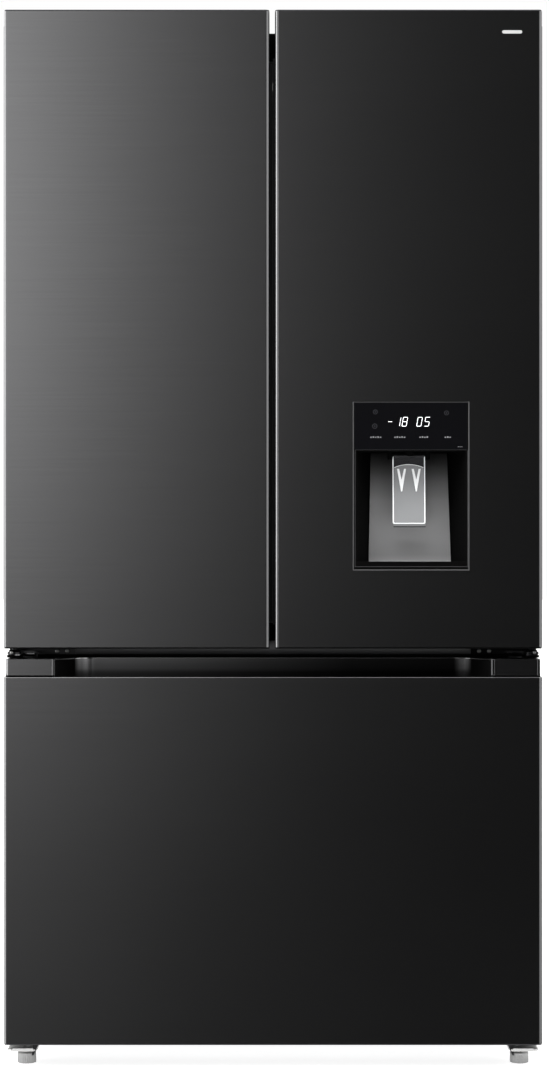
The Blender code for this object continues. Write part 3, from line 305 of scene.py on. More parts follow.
# The splash plate darkens towards its top: painted shade under the panel's overhang.
SPLASH_PAINTED_SHADE = [
    (0.0, 0.95), (0.06, 0.78), (0.45, 0.76), (0.56, 0.82), (0.68, 0.57), (0.82, 0.2), (0.9, 0.075),
    (1.0, 0.015),
]
SPLASH_GREY = painted_shade_plastic("splash_plate_painted_shade", (0.205, 0.205, 0.207), 0.42, SPLASH_PAINTED_SHADE)
ZINC = surface("bright_zinc", (0.68, 0.68, 0.66), 0.28, 1.0, 300.0, 0.06, 0.2, wear=0.3)
DARK_ZINC = surface("dark_zinc", (0.48,) * 3, 0.36, 1.0, 300.0, 0.06, 0.2, wear=0.3)
BRACKET_ZINC = surface("bracket_zinc", (0.72, 0.72, 0.71), 0.4, 0.25, 300.0, 0.05, 0.2, wear=0.3)
FOOT_GREY = surface("foot_plastic", (0.4,) * 3, 0.42, 0.0, 900.0, 0.08, 0.1, 0.00003, wear=0.4)
GALVANISED = galvanised("galvanised_sheet", (0.56, 0.57, 0.58), 0.38)
IRON = surface("black_enamel", (0.02, 0.02, 0.021), 0.3, 0.0, 400.0, 0.15, 0.2, 0.00006)
COPPER = surface("copper_tube", (0.72, 0.36, 0.22), 0.28, 1.0, 300.0, 0.12, 0.2)
TYRE = surface("wheel_tyre", (0.03,) * 3, 0.55, 0.0, 900.0, 0.15, 0.1, 0.00004)
FOAM = surface("foam", (0.72, 0.6, 0.34), 0.9, 0.0, 260.0, 0.18, 0.05, 0.0008)
ALUMINIUM = surface("aluminium", (0.7, 0.71, 0.72), 0.26, 1.0, (8.0, 900.0, 900.0), 0.05, 0.15, 0.00001)
CLEAR = clear("clear_plastic", (0.9, 0.94, 0.95), 0.06, 0.86)
GLASS = clear("shelf_glass", (0.84, 0.93, 0.91), 0.03, 0.9, 1.52)
PADDLE = clear("paddle_plastic", (0.285, 0.29, 0.295), 0.22, 0.35)
PADDLE_RIM_PAINTED_HIGHLIGHT = clear("paddle_rim_painted_highlight", (0.82, 0.83, 0.84), 0.14, 0.1)
PADDLE_FOOT = clear("paddle_foot", (0.15, 0.151, 0.153), 0.3, 0.1)
PADDLE_DARK_AND_PAINTED_SHADOW = clear("paddle_dark_and_painted_shadow", (0.03, 0.03, 0.032), 0.14, 0.3)
LAMP = glowing("lamp_lens", 0.6)
DIGITS = glowing("display_light", 1.0)
PRINT = surface("printed_marks", (0.13, 0.13, 0.135), 0.5, 0.0, 900.0, 0.05, 0.05, 0.0)
FAINT_PRINT = surface("faint_marks", (0.014, 0.014, 0.017), 0.4, 0.0, 900.0, 0.1, 0.05, 0.0)
BADGE = surface("badge_metal", (0.52,) * 3, 0.3, 0.35, (20.0, 900.0, 900.0), 0.05, 0.1, 0.000005)


# ---------------- meshes


def placed(name, data):
    """A new object in the scene."""
    made = bpy.data.objects.new(name, data)
    bpy.context.scene.collection.objects.link(made)
    return made


def piece(name, mesh, material, body, angle=38.0):
    """A finished piece that rides on a body, smooth apart from its sharp corners and its flat faces."""
    made = placed(name, mesh)
    mesh.materials.clear()
    mesh.materials.append(material)
    mesh.polygons.foreach_set("use_smooth", [True] * len(mesh.polygons))
    mesh.set_sharp_from_angle(angle=math.radians(angle))
    made.modifiers.new("flat_faces", "WEIGHTED_NORMAL").keep_sharp = True
    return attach(made, body)


def from_bmesh(work):
    """A mesh from a finished bmesh, with its faces turned outwards."""
    bmesh.ops.remove_doubles(work, verts=work.verts, dist=1e-6)
    bmesh.ops.recalc_face_normals(work, faces=work.faces)
    mesh = bpy.data.meshes.new("shape")
    work.to_mesh(mesh)
    work.free()
    return mesh


def evaluated(data, kind=None, **settings):
    """The mesh of curve or mesh data, after a modifier if one is given."""
    drawn = placed("drawn", data)
    if kind:
        made = drawn.modifiers.new(kind, kind)
        for key, value in settings.items():
            setattr(made, key, value)
    shape = drawn.evaluated_get(bpy.context.evaluated_depsgraph_get())
    mesh = bpy.data.meshes.new_from_object(shape)
    bpy.data.objects.remove(drawn)
    return mesh


def arc(centre, radius, first, last, steps):
    """Points along an arc, in degrees."""
    angles = [math.radians(first + (last - first) * step / steps) for step in range(steps + 1)]
    return [(centre[0] + radius * math.cos(a), centre[1] + radius * math.sin(a)) for a in angles]


def circle(centre, radius, steps):
    """A closed circle's outline."""
    return arc(centre, radius, 0, 360, steps)[:-1]


def rounded(low, high, radius, steps=6):
    """A rectangle's outline with round corners."""
    corners = (
        ((high[0] - radius, high[1] - radius), 0),
        ((low[0] + radius, high[1] - radius), 90),
        ((low[0] + radius, low[1] + radius), 180),
        ((high[0] - radius, low[1] + radius), 270),
    )
    return [point for centre, first in corners for point in arc(centre, radius, first, first + 90, steps)]


def plate(loops, low, high, axis="Z", bevel=0.0, steps=3):
    """A flat shape with holes, extruded along an axis, with round edges.

    Points are (x, y) for axis Z, (y, z) for axis X and (x, z) for axis Y.
    """
    curve = bpy.data.curves.new("outline", "CURVE")
    curve.dimensions = "2D"
    curve.fill_mode = "BOTH"
    curve.extrude = (high - low) / 2 - bevel
    curve.bevel_depth = bevel
    curve.bevel_resolution = steps
    curve.offset = -bevel
    for loop in loops:
        spline = curve.splines.new("POLY")
        spline.points.add(len(loop) - 1)
        for point, (across, up) in zip(spline.points, loop):
            point.co = (across, up, 0.0, 1.0)
        spline.use_cyclic_u = True
    work = bmesh.new()
    work.from_mesh(evaluated(curve))
    middle = (low + high) / 2
    turn = {
        "X": Matrix(((0, 0, 1, middle), (1, 0, 0, 0), (0, 1, 0, 0), (0, 0, 0, 1))),
        "Y": Matrix(((1, 0, 0, 0), (0, 0, -1, middle), (0, 1, 0, 0), (0, 0, 0, 1))),
        "Z": Matrix.Translation((0, 0, middle)),
    }[axis]
    bmesh.ops.transform(work, verts=work.verts, matrix=turn)
    return from_bmesh(work)


def front_plate(loops, near, far, bevel=0.0, steps=3):
    """A plate along Y between two depths behind the doors' front."""
    return plate(loops, FRONT + near, FRONT + far, "Y", bevel, steps)


def block(low, high, bevel=0.0, steps=3):
    """A box with round edges."""
    low, high = Vector(low), Vector(high)
    work = bmesh.new()
    shape = Matrix.Translation((low + high) / 2) @ Matrix.Diagonal((*(high - low), 1.0))
    bmesh.ops.create_cube(work, size=1.0, matrix=shape)
    if bevel:
        bmesh.ops.bevel(work, geom=work.edges[:], offset=bevel, segments=steps, profile=0.5, affect="EDGES")
    return from_bmesh(work)


def lathe(profile, centre, axis="Z", segments=48):
    """A turned shape from (radius, along) points, about an axis through centre."""
    work = bmesh.new()
    rings = [
        [work.verts.new((across, up, along)) for across, up in circle((0, 0), radius, segments)]
        for radius, along in profile
    ]
    for near, far in zip(rings, rings[1:]):
        for step in range(segments):
            work.faces.new((near[step - 1], near[step], far[step], far[step - 1]))
    turn = Matrix.Rotation(math.pi / 2, 4, "Y") if axis == "X" else Matrix.Identity(4)
    bmesh.ops.transform(work, verts=work.verts, matrix=Matrix.Translation(centre) @ turn)
    return from_bmesh(work)


def tube(points, radius):
    """A round bar along points."""
    curve = bpy.data.curves.new("path", "CURVE")
    curve.dimensions = "3D"
    curve.bevel_depth = radius
    curve.bevel_resolution = 4
    curve.use_fill_caps = True
    spline = curve.splines.new("POLY")
    spline.points.add(len(points) - 1)
    for point, place in zip(spline.points, points):
        point.co = (*place, 1.0)
    work = bmesh.new()
    work.from_mesh(evaluated(curve))
    return from_bmesh(work)


def cut(mesh, cutter):
    """A mesh with another one cut out of it."""
    tool = placed("cutter", cutter)
    made = evaluated(mesh, "BOOLEAN", object=tool, operation="DIFFERENCE", solver="EXACT")
    bpy.data.objects.remove(tool)
    return made


def joined(meshes):
    """Several meshes as one."""
    work = bmesh.new()
    for mesh in meshes:
        work.from_mesh(mesh)
    made = bpy.data.meshes.new("shapes")
    work.to_mesh(made)
    work.free()
    return made


def sided(side, low, high):
    """A box's corners, given for the right side, moved to a side."""
    if side > 0:
        return low, high
    return (-high[0], low[1], low[2]), (-low[0], high[1], high[2])


def flipped(side, outline):
    """An outline given for the right side, moved to a side."""
    if side > 0:
        return outline
    return [(-across, up) for across, up in reversed(outline)]


def screw_head(place, facing, radius, height=0.002):
    """A domed screw head with a cross recess, facing along Y."""
    dome = [(radius * math.sin(a), height * math.cos(a) ** 0.6) for a in (0.3, 0.6, 0.9, 1.2, 1.45)]
    head = lathe([(0.0, height)] + dome + [(radius, 0.0), (0.0, 0.0)], (0, 0, 0), "Z", 24)
    for turn in (0.0, math.pi / 2):
        long, wide = radius * 0.6, radius * 0.11
        arm = block((-long, -wide, height * 0.45), (long, wide, height * 2))
        arm.transform(Matrix.Rotation(turn, 4, "Z"))
        head = cut(head, arm)
    aim = Vector((0, facing, 0)).to_track_quat("Z", "Y").to_matrix().to_4x4()
    head.transform(Matrix.Translation(place) @ aim)
    return head


def soften(node, material, width=0.0, steps=2):
    """A CAD node kept in its shape, with its corners rounded and a finished material."""
    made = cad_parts[node]
    made.data.materials.clear()
    made.data.materials.append(material)
    for polygon in made.data.polygons:
        polygon.use_smooth = True
    made.modifiers.new("weld", "WELD").merge_threshold = 0.000005
    if width:
        merge = made.modifiers.new("merge", "DECIMATE")
        merge.decimate_type = "DISSOLVE"
        merge.angle_limit = math.radians(1.0)
        bevel = made.modifiers.new("corners", "BEVEL")
        bevel.width = width
        bevel.segments = steps
        bevel.limit_method = "ANGLE"
        bevel.angle_limit = math.radians(30.0)
        bevel.harden_normals = False
    made.modifiers.new("flat_faces", "WEIGHTED_NORMAL").keep_sharp = False


# ---------------- door and drawer sheets


def bent_sheet(low_x, high_x, low_z, high_z):
    """A front sheet with round vertical bends, its side returns and their folded hems."""
    back = FRONT + 0.068
    inner = BEND - SHEET
    fold = SHEET / 2
    left, right = (low_x + BEND, FRONT + BEND), (high_x - BEND, FRONT + BEND)
    outline = (
        arc((low_x + fold, back - fold), fold, 90, 180, 4)
        + arc(left, BEND, 180, 270, 18)
        + arc(right, BEND, 270, 360, 18)
        + arc((high_x - fold, back - fold), fold, 0, 90, 4)
        + [(high_x - SHEET, back)]
        + arc(right, inner, 360, 270, 12)
        + arc(left, inner, 270, 180, 12)
        + [(low_x + SHEET, back)]
    )
    return plate([outline], low_z, high_z)


def gap_side(side):
    """Where a door ends beside the other door: the right one reaches a little closer to the middle."""
    return SKIN_LOW.x - (RIGHT_REACH if side > 0 else 0.0)


def hinge_room(side, level):
    """The room for the hinge behind a door's upper corner, from a level up."""
    return block(*sided(side, (0.38, FRONT + 0.003, level), (0.47, -0.27, 1.82)))


def door_sheet(side):
    """The sheet of one door, cut away behind its upper corner for the hinge."""
    low, high = sided(side, (gap_side(side), 0, 0), (SKIN_HIGH.x, 0, 0))
    sheet = bent_sheet(low[0], high[0], SKIN_LOW.z, SKIN_HIGH.z)
    return cut(sheet, hinge_room(side, 1.762))


left_sheet = piece("left_door_sheet", door_sheet(-1), STEEL, "left_door")
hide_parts("left_door_skin")

window = front_plate([rounded((0.1346, 0.842), (0.332, 1.1275), 0.0015)], -0.01, 0.02)
BADGE_OUTLINE = rounded((0.387, 1.7492), (0.4212, 1.7552), 0.0029, 8)
right_mesh = cut(cut(door_sheet(1), window), front_plate([BADGE_OUTLINE], -0.01, 0.006))
right_sheet = piece("right_door_sheet", right_mesh, STEEL, "right_door")
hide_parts("right_door_skin")

# How thick the rolled upper edge of the drawer's sheet is, as a radius
HEM = 0.0017
drawer_mesh = bent_sheet(DRAWER_LOW.x, DRAWER_HIGH.x, DRAWER_LOW.z, DRAWER_HIGH.z - HEM)
drawer_sheet = piece("drawer_sheet", drawer_mesh, STEEL, "freezer_drawer")
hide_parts("drawer_front_skin")


# ---------------- door mouldings

PULL_LOW, PULL_HIGH = (0.08, FRONT + 0.0225), (0.33, FRONT + 0.0555)


def door_cap(side, level, top):
    """A door's moulded end cap, whose front corners follow the sheet's bends.

    The upper one has its hinge corner cut out and the lower one its finger pull.
    """
    low, high = gap_side(side) + 0.0004, SKIN_HIGH.x - 0.0004
    back, front = DOOR_INNER - 0.0055, FRONT + 0.0005 + BEND
    outline = (
        arc((low + BEND, front), BEND, 180, 270, 10)
        + arc((high - BEND, front), BEND, 270, 360, 10)
        + arc((high - 0.004, back), 0.004, 0, 90, 5)
        + arc((low + 0.004, back), 0.004, 90, 180, 5)
    )
    cap = plate([flipped(side, outline)], level, level + 0.002, "Z", 0.0006, 2)
    if top:
        return cut(cap, hinge_room(side, 1.7))
    near, far = sided(side, (*PULL_LOW, 0), (*PULL_HIGH, 0))
    return cut(cap, plate([rounded(near[:2], far[:2], 0.01)], 0.6, 0.8))


def pull_pocket(side):
    """The finger pull moulded up into a door's underside."""
    low, high = sided(side, (*PULL_LOW, 0.7105), (*PULL_HIGH, 0.73))
    wall = 0.0015
    outer = rounded((low[0] - wall, low[1] - wall), (high[0] + wall, high[1] + wall), 0.0115)
    inner = plate([rounded(low[:2], high[:2], 0.01)], low[2] - 0.01, high[2])
    return cut(plate([outer], low[2], high[2] + wall), inner)


def inner_moulding(side):
    """The white inner face of a door: a flat border, raised walls round the bins and a recessed field."""
    right, inner = side > 0, DOOR_INNER
    housing_room = block((0.1359, -0.4, 0.8433), (0.3307, -0.2697, 1.1262))

    def open_to_housing(mesh):
        return cut(mesh, housing_room) if right else mesh

    low, high = gap_side(side) + SHEET + 0.0003, SKIN_HIGH.x - SHEET - 0.0003
    border = flipped(side, rounded((low, LINER_LOW.z + 0.0023), (high, LINER_HIGH.z - 0.0023), 0.004))
    walls_out = flipped(side, rounded((0.06, 0.965), (0.4, 1.7), 0.02, 8))
    walls_in = flipped(side, rounded((0.088, 0.98), (0.372, 1.672), 0.014, 8))
    base = plate([border, walls_in], inner - 0.0068, inner, "Y", 0.0015)
    base = cut(base, block(*sided(side, (0.378, FRONT, 1.76), (0.48, -0.2, 1.82))))
    meshes = [
        open_to_housing(base),
        open_to_housing(plate([walls_out, walls_in], inner - 0.004, -0.235, "Y", 0.0035, 4)),
        open_to_housing(plate([walls_in], inner - 0.009, inner - 0.0075, "Y")),
    ]
    for level in (1.32, 1.575) if right else (1.09, 1.32, 1.575):
        rib = flipped(side, rounded((0.11, level), (0.35, level + 0.006), 0.0029))
        meshes.append(plate([rib], inner - 0.008, inner - 0.006, "Y", 0.0009, 2))
    if right:
        bulge = plate([rounded((0.11, 0.815), (0.36, 1.15), 0.022, 8)], -0.296, -0.24, "Y", 0.006, 5)
        lid = plate([rounded((0.125, 0.83), (0.345, 0.96), 0.012, 6)], -0.241, -0.2392, "Y", 0.0008, 2)
        meshes += [cut(bulge, housing_room), lid]
    for level in (1.43, 1.165) if right else (0.985, 1.215, 1.455):
        for near in (0.0865, 0.364):
            lug = sided(side, (near, -0.2995, level - 0.012), (near + 0.0095, -0.25, level - 0.0003))
            meshes.append(block(*lug, 0.0015))
    if not right:
        for low_z, high_z in ((0.7475, 0.7517), (1.7183, 1.7225)):
            meshes.append(block((-0.053, inner - 0.003, low_z), (-0.035, -0.2635, high_z), 0.001))
    return joined(meshes)


for word, side in SIDES.items():
    body = word + "_door"
    moulding = piece(word + "_door_inner_moulding", inner_moulding(side), WHITE, body)
    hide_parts(word + "_door_liner")
    piece(word + "_door_top_cap", door_cap(side, 1.788, True), CAP_PLASTIC, body)
    piece(word + "_door_bottom_cap", door_cap(side, 0.71, False), NICHE_BLACK, body)
    piece(word + "_door_finger_pull", pull_pocket(side), CAP_PLASTIC, body)
    corner = sided(side, (0.3795, FRONT + 0.0032, 1.76), (0.453, -0.2935, 1.7622))
    piece(word + "_door_hinge_pocket", block(*corner, 0.0006, 2), CAP_PLASTIC, body)
    wall = sided(side, (0.3775, FRONT + 0.0032, 1.76), (0.38, -0.2935, 1.789))
    piece(word + "_door_hinge_pocket_wall", block(*wall, 0.0005, 2), CAP_PLASTIC, body)


def gasket_ring(low, high):
    """A door seal: a flat base, a soft bellows and the magnet bead that meets the cabinet."""
    front, back = DOOR_INNER + 0.0003, CABINET_FRONT - 0.0003
    depth = back - front
    rings = []
    for inset_out, inset_in, near, far, bevel in (
        (0.002, 0.016, 0.0, 0.22, 0.0008),
        (0.005, 0.014, 0.15, 0.52, 0.0012),
        (0.003, 0.012, 0.45, 0.7, 0.001),
        (0.0, 0.018, 0.62, 1.0, 0.002),
    ):
        loops = [
            rounded((low.x + inset, low.z + inset), (high.x - inset, high.z - inset), radius)
            for inset, radius in ((inset_out, 0.004), (inset_in, 0.003))
        ]
        rings.append(plate(loops, front + near * depth, front + far * depth, "Y", bevel, 2))
    return joined(rings)


for node, body in (
    ("left_door_gasket", "left_door"),
    ("right_door_gasket", "right_door"),
    ("drawer_gasket", "freezer_drawer"),
):
    seal = piece(node.replace("gasket", "seal"), gasket_ring(*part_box(node)), GASKET, body)
    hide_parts(node)

# The right door's seal has a lip that closes the slit beside the mullion.
lip = plate([rounded((-0.0006, 0.748), (0.0066, 1.722), 0.0006)], -0.2922, -0.2835, "Y", 0.0003)
piece("right_door_seal_lip", lip, BLACK, "right_door")


# ---------------- drawer handle and front moulding

RECESS_HALF = 0.371
FLANK = 37.5
CORNER = 0.04
CORNER_X = RECESS_HALF - 0.062
CORNER_Y = FRONT + 0.055 - CORNER
MOUTH = FRONT + 0.0034
COVE_BACK = FRONT + 0.0652
RIM_LOW = HANDLE_HIGH.z - 0.0013


def flank_x(y, grow=0.0):
    """Half the recess's width at a depth, along its slanted flank."""
    return RECESS_HALF + grow - (y - FRONT) * math.tan(math.radians(FLANK))


def recess_curve(radius=CORNER):
    """The recess's wall seen from above, from its right mouth round the back to its left mouth."""
    right = arc((CORNER_X, CORNER_Y), radius, FLANK, 90, 24)
    return right + arc((-CORNER_X, CORNER_Y), radius, 90, 180 - FLANK, 24)


def handle_cap(side):
    """An end cap of the handle: a round outer bend, a rolled inner edge and the slanted flank."""
    half = HANDLE_HIGH.x - 0.0028
    roll, radius = 0.0032, 0.0055
    outline = (
        [(flank_x(FRONT + 0.05), FRONT + 0.05), (flank_x(FRONT + 0.006), FRONT + 0.006)]
        + arc((RECESS_HALF + 0.0006 + roll, FRONT + roll), roll, 150, 270, 10)
        + arc((half - radius, FRONT + radius), radius, 270, 360, 14)
        + [(half, COVE_BACK), (flank_x(FRONT + 0.05), COVE_BACK)]
    )
    cap = plate([flipped(side, outline)], 0.665, HANDLE_HIGH.z)
    bevel = {"width": 0.001, "segments": 3, "limit_method": "ANGLE", "angle_limit": math.radians(50.0)}
    return evaluated(cap, "BEVEL", **bevel)


def on_drawer(name, mesh, material, angle=38.0):
    """A piece of the freezer drawer's front."""
    return piece(name, mesh, material, "freezer_drawer", angle)


cove_outline = [(-CORNER_X - 0.04, COVE_BACK)] + recess_curve()[::-1] + [(CORNER_X + 0.04, COVE_BACK)]
cove = plate([cove_outline], 0.634, HANDLE_HIGH.z - 0.0001)
recess = on_drawer("drawer_recess", cove, RECESS_STEEL_PAINTED_LIGHT, 50)
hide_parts("drawer_handle")
for word, side in SIDES.items():
    on_drawer("drawer_handle_cap_" + word, handle_cap(side), STEEL)
    seam = sided(side, (0.3725, FRONT + 0.003, 0.66), (0.452, FRONT + 0.006, 0.6675))
    on_drawer("drawer_handle_seam_" + word, block(*seam, 0.0004, 2), NICHE_BLACK)
    # Black strips over each slanted flank and the start of its bend stand for the steel's dark reflection
    # there: painted shade.
    thick, bend_end = 0.0005, 42
    strip = (
        [(flank_x(MOUTH), MOUTH)]
        + arc((CORNER_X, CORNER_Y), CORNER, FLANK, bend_end, 12)
        + arc((CORNER_X, CORNER_Y), CORNER - thick, bend_end, FLANK, 12)
        + [(flank_x(MOUTH, -thick), MOUTH)]
    )
    end = plate([flipped(side, strip)], 0.6344, RIM_LOW)
    on_drawer("drawer_recess_shade_strip_" + word, end, NICHE_BLACK)
thick = 0.0006
rim_path = (
    [(flank_x(MOUTH), MOUTH)]
    + recess_curve()
    + [(-flank_x(MOUTH), MOUTH), (-flank_x(MOUTH, -thick), MOUTH)]
    + recess_curve(CORNER - thick)[::-1]
    + [(flank_x(MOUTH, -thick), MOUTH)]
)
on_drawer("drawer_recess_rim", plate([rim_path], RIM_LOW, HANDLE_HIGH.z), RIM_STEEL_PAINTED_HIGHLIGHT)
mouth = FRONT + 0.0048
floor_outline = [(-flank_x(mouth), mouth), (flank_x(mouth), mouth)] + recess_curve()
on_drawer("drawer_recess_floor", plate([floor_outline], 0.624, 0.6342), RECESS_STEEL_PAINTED_LIGHT)
core = block((-0.453, FRONT + 0.006, 0.6222), (0.453, FRONT + 0.065, 0.6338), 0.001)
on_drawer("drawer_handle_core", core, CAP_PLASTIC)
# Black arcs over the right cap's rolled edge and outer bend dim their highlights: painted shade, as the
# light falls from the left.
edges = []
for middle, roll, start, end in (
    ((RECESS_HALF + 0.0038, FRONT + 0.0033), 0.0032, 145, 255),
    ((HANDLE_HIGH.x - 0.0083, FRONT + 0.0056), 0.0055, 284, 360),
):
    outline = arc(middle, roll + 0.0002, start, end, 12) + arc(middle, roll - 0.0006, end, start, 12)
    edges.append(plate([outline], 0.6652, HANDLE_HIGH.z - 0.0002))
on_drawer("drawer_handle_edge_right_painted_shade", joined(edges), NICHE_BLACK)
# A black strip along the drawer's top stands in for the shadow in the gap below the cabinet: painted
# shadow.
strip = block((-0.4045, -0.3015, 0.69), (0.4045, -0.296, 0.6972), 0.001, 2)
on_drawer("drawer_top_shadow_strip", strip, NICHE_BLACK)
# The sheet's upper edge is rolled into a round hem.
hem_path = (
    [(DRAWER_LOW.x + HEM, FRONT + 0.05)]
    + arc((DRAWER_LOW.x + BEND, FRONT + BEND), BEND - HEM, 180, 270, 10)
    + arc((DRAWER_HIGH.x - BEND, FRONT + BEND), BEND - HEM, 270, 360, 10)
    + [(DRAWER_HIGH.x - HEM, FRONT + 0.05)]
)
roll = tube([(x, y, DRAWER_HIGH.z - HEM) for x, y in hem_path], HEM)
piece("drawer_sheet_rolled_lip", roll, STEEL, "freezer_drawer")


def drawer_moulding():
    """The white inner face of the drawer's front, with ribs and a block along its top."""
    inner = DOOR_INNER
    half = DRAWER_HIGH.x - SHEET - 0.0003
    border = rounded((-half, 0.0423), (half, 0.692), 0.004)
    field = rounded((-0.36, 0.11), (0.36, 0.61), 0.02, 8)
    meshes = [
        plate([border, field], inner - 0.0068, inner, "Y", 0.0015),
        plate([field], inner - 0.006, inner - 0.004, "Y"),
        block((-half, FRONT + 0.0656, 0.623), (half, inner - 0.0005, 0.692), 0.0008),
    ]
    for step in range(5):
        level = 0.17 + 0.095 * step
        rib = rounded((-0.32, level), (0.32, level + 0.008), 0.0039)
        meshes.append(plate([rib], inner - 0.005, inner - 0.0022, "Y", 0.001, 2))
    return joined(meshes)


drawer_inner = on_drawer("drawer_inner_moulding", drawer_moulding(), WHITE)
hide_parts("drawer_front_liner")
half, bend_y, back = 0.4551, FRONT + 0.0005 + BEND, DOOR_INNER - 0.0015
low_cap = arc((-half + BEND, bend_y), BEND, 180, 270, 10) + arc((half - BEND, bend_y), BEND, 270, 360, 10)
low_cap += [(half, back), (-half, back)]
on_drawer("drawer_bottom_cap", plate([low_cap], 0.04, 0.042, "Z", 0.0006, 2), CAP_PLASTIC)


# ---------------- dispenser

NICHE_X = (0.14, 0.3276)
NICHE_Z = (0.8565, 1.044)


def on_door(name, mesh, material, angle=38.0):
    """A piece of the right door's dispenser."""
    return piece(name, mesh, material, "right_door", angle)


def splash_y(z):
    """Depth of the splash plate's face at a height: it leans back towards its top."""
    low, high = FRONT + 0.057, FRONT + 0.084
    return low + (high - low) * (z - NICHE_Z[0]) / (NICHE_Z[1] - NICHE_Z[0])


def niche_room():
    """The niche's room, narrower at its leaning back."""
    work = bmesh.new()
    bmesh.ops.create_cube(work, size=1.0)
    for vertex in work.verts:
        right, rear, up = (value > 0 for value in vertex.co)
        z = NICHE_Z[up]
        if rear:
            edges = (0.1673, 0.301) if up else (0.1628, 0.3059)
            vertex.co = (edges[right], splash_y(z) + 0.0031, z)
        else:
            vertex.co = (NICHE_X[right], FRONT - 0.004, z)
    bmesh.ops.bevel(work, geom=work.edges[:], offset=0.0022, segments=4, profile=0.5, affect="EDGES")
    return from_bmesh(work)


housing = block((0.1362, FRONT + 0.0012, 0.8436), (0.3304, -0.27, 1.1259), 0.0005, 2)
seat_low = (PANEL_LOW.x - 0.0003, FRONT - 0.01, PANEL_LOW.z - 0.0003)
seat_high = (PANEL_HIGH.x + 0.0003, FRONT + 0.0037, PANEL_HIGH.z + 0.0003)
housing = cut(cut(housing, niche_room()), block(seat_low, seat_high))
housing_piece = on_door("dispenser_niche", housing, NICHE_BLACK)
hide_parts("dispenser_housing")


def three_sided(low, high, width):
    """The outline of a frame's two upright sides and its lower side."""
    corners = [(low[0], high[1]), low, (high[0], low[1]), high]
    inner_low, inner_right = low[1] + width, high[0] - width
    inner_left = low[0] + width
    return corners + [
        (inner_right, high[1]), (inner_right, inner_low), (inner_left, inner_low), (inner_left, high[1]),
    ]


frame_low, frame_high, width = (0.1347, 0.8421), (0.3319, 1.1274), 0.0017
sides = front_plate([three_sided(frame_low, frame_high, width)], 0.0001, 0.0022, 0.0005)
on_door("dispenser_frame", sides, TRIM_METAL)
top = rounded((frame_low[0] + width, frame_high[1] - width), (frame_high[0] - width, frame_high[1]), 0.0006)
on_door("dispenser_frame_top", front_plate([top], 0.0001, 0.0022, 0.0005), TRIM_DARK)
bead = front_plate([three_sided((0.1382, 0.848), (0.3294, 1.0452), 0.001)], 0.0004, 0.002, 0.0004)
on_door("dispenser_niche_bead", bead, TRIM_DARK)
panel_outline = rounded((PANEL_LOW.x, PANEL_LOW.z), (PANEL_HIGH.x, PANEL_HIGH.z), 0.0012)
panel = on_door("dispenser_panel", front_plate([panel_outline], 0.0004, 0.0034, 0.0006), GLOSS_BLACK)
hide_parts("control_panel")
edge = rounded((PANEL_LOW.x + 0.001, 1.0456), (PANEL_HIGH.x - 0.001, 1.0464), 0.0004, 3)
on_door("dispenser_panel_lower_edge", front_plate([edge], 0.0006, 0.0022, 0.0003), TRIM_DARK)

SEGMENTS = {"0": "abcdef", "1": "bc", "5": "acdfg", "8": "abcdefg", "-": "g"}


def mark_plate(loops):
    """A flat mark on the panel's face."""
    return front_plate(loops, 0.0002, 0.0004)


def digit(mark, x, low):
    """One slanted seven-segment digit as flat bars."""
    width, height, stroke = 0.0074, 0.015, 0.00075
    gap = stroke * 0.28
    middle, top = low + height / 2, low + height
    half = stroke / 2

    def bar(x0, z0, x1, z1):
        if x0 == x1:
            left, right, near, far = x0 - half, x0 + half, z0 + half, z1 - half
            return [(x0, z0), (right, near), (right, far), (x0, z1), (left, far), (left, near)]
        under, over, near, far = z0 - half, z0 + half, x0 + half, x1 - half
        return [(x0, z0), (near, under), (far, under), (x1, z0), (far, over), (near, over)]

    places = {
        "a": (x + gap, top, x + width - gap, top),
        "b": (x + width, middle + gap, x + width, top - gap),
        "c": (x + width, low + gap, x + width, middle - gap),
        "d": (x + gap, low, x + width - gap, low),
        "e": (x, low + gap, x, middle - gap),
        "f": (x, middle + gap, x, top - gap),
        "g": (x + gap, middle, x + width - gap, middle),
    }
    slant = math.tan(math.radians(10))
    bars = [bar(*places[segment]) for segment in SEGMENTS[mark]]
    return [mark_plate([[(across + (up - low) * slant, up) for across, up in outline]]) for outline in bars]


def panel_place(column, row):
    """A place on the panel, given as shares of its width and height from its upper left corner."""
    size = PANEL_HIGH - PANEL_LOW
    return PANEL_LOW.x + size.x * column, PANEL_HIGH.z - size.z * row


shapes = []
for mark, column in (("-", 0.29), ("1", 0.36), ("8", 0.42), ("0", 0.55), ("5", 0.617)):
    shapes += digit(mark, *panel_place(column, 0.5))
on_door("dispenser_display_digits", joined(shapes), DIGITS)

shapes = []
for column, count in ((0.189, 5), (0.401, 5), (0.613, 4), (0.826, 3)):
    across, up = panel_place(column, 0.735)
    for step in range(count):
        middle = across + (step - (count - 1) / 2) * 0.004
        tall = 0.0015 if step % 2 else 0.0011
        low, high = (middle - 0.0014, up - 0.0011), (middle + 0.0014, up - 0.0011 + 2 * tall)
        shapes.append(mark_plate([rounded(low, high, 0.0008, 3)]))
across, up = panel_place(0.935, 0.935)
shapes += [mark_plate([circle((across + 0.003 * (step - 1), up), 0.0008, 12)]) for step in range(3)]
on_door("dispenser_button_marks", joined(shapes), PRINT)

shapes = []
for column, row, size in ((0.185, 0.2, 0.004), (0.18, 0.5, 0.0044), (0.815, 0.22, 0.004)):
    place = panel_place(column, row)
    shapes.append(mark_plate([circle(place, size, 20), circle(place, size * 0.72, 20)]))
    shapes.append(mark_plate([circle(place, size * 0.3, 12)]))
on_door("dispenser_panel_symbols", joined(shapes), FAINT_PRINT)


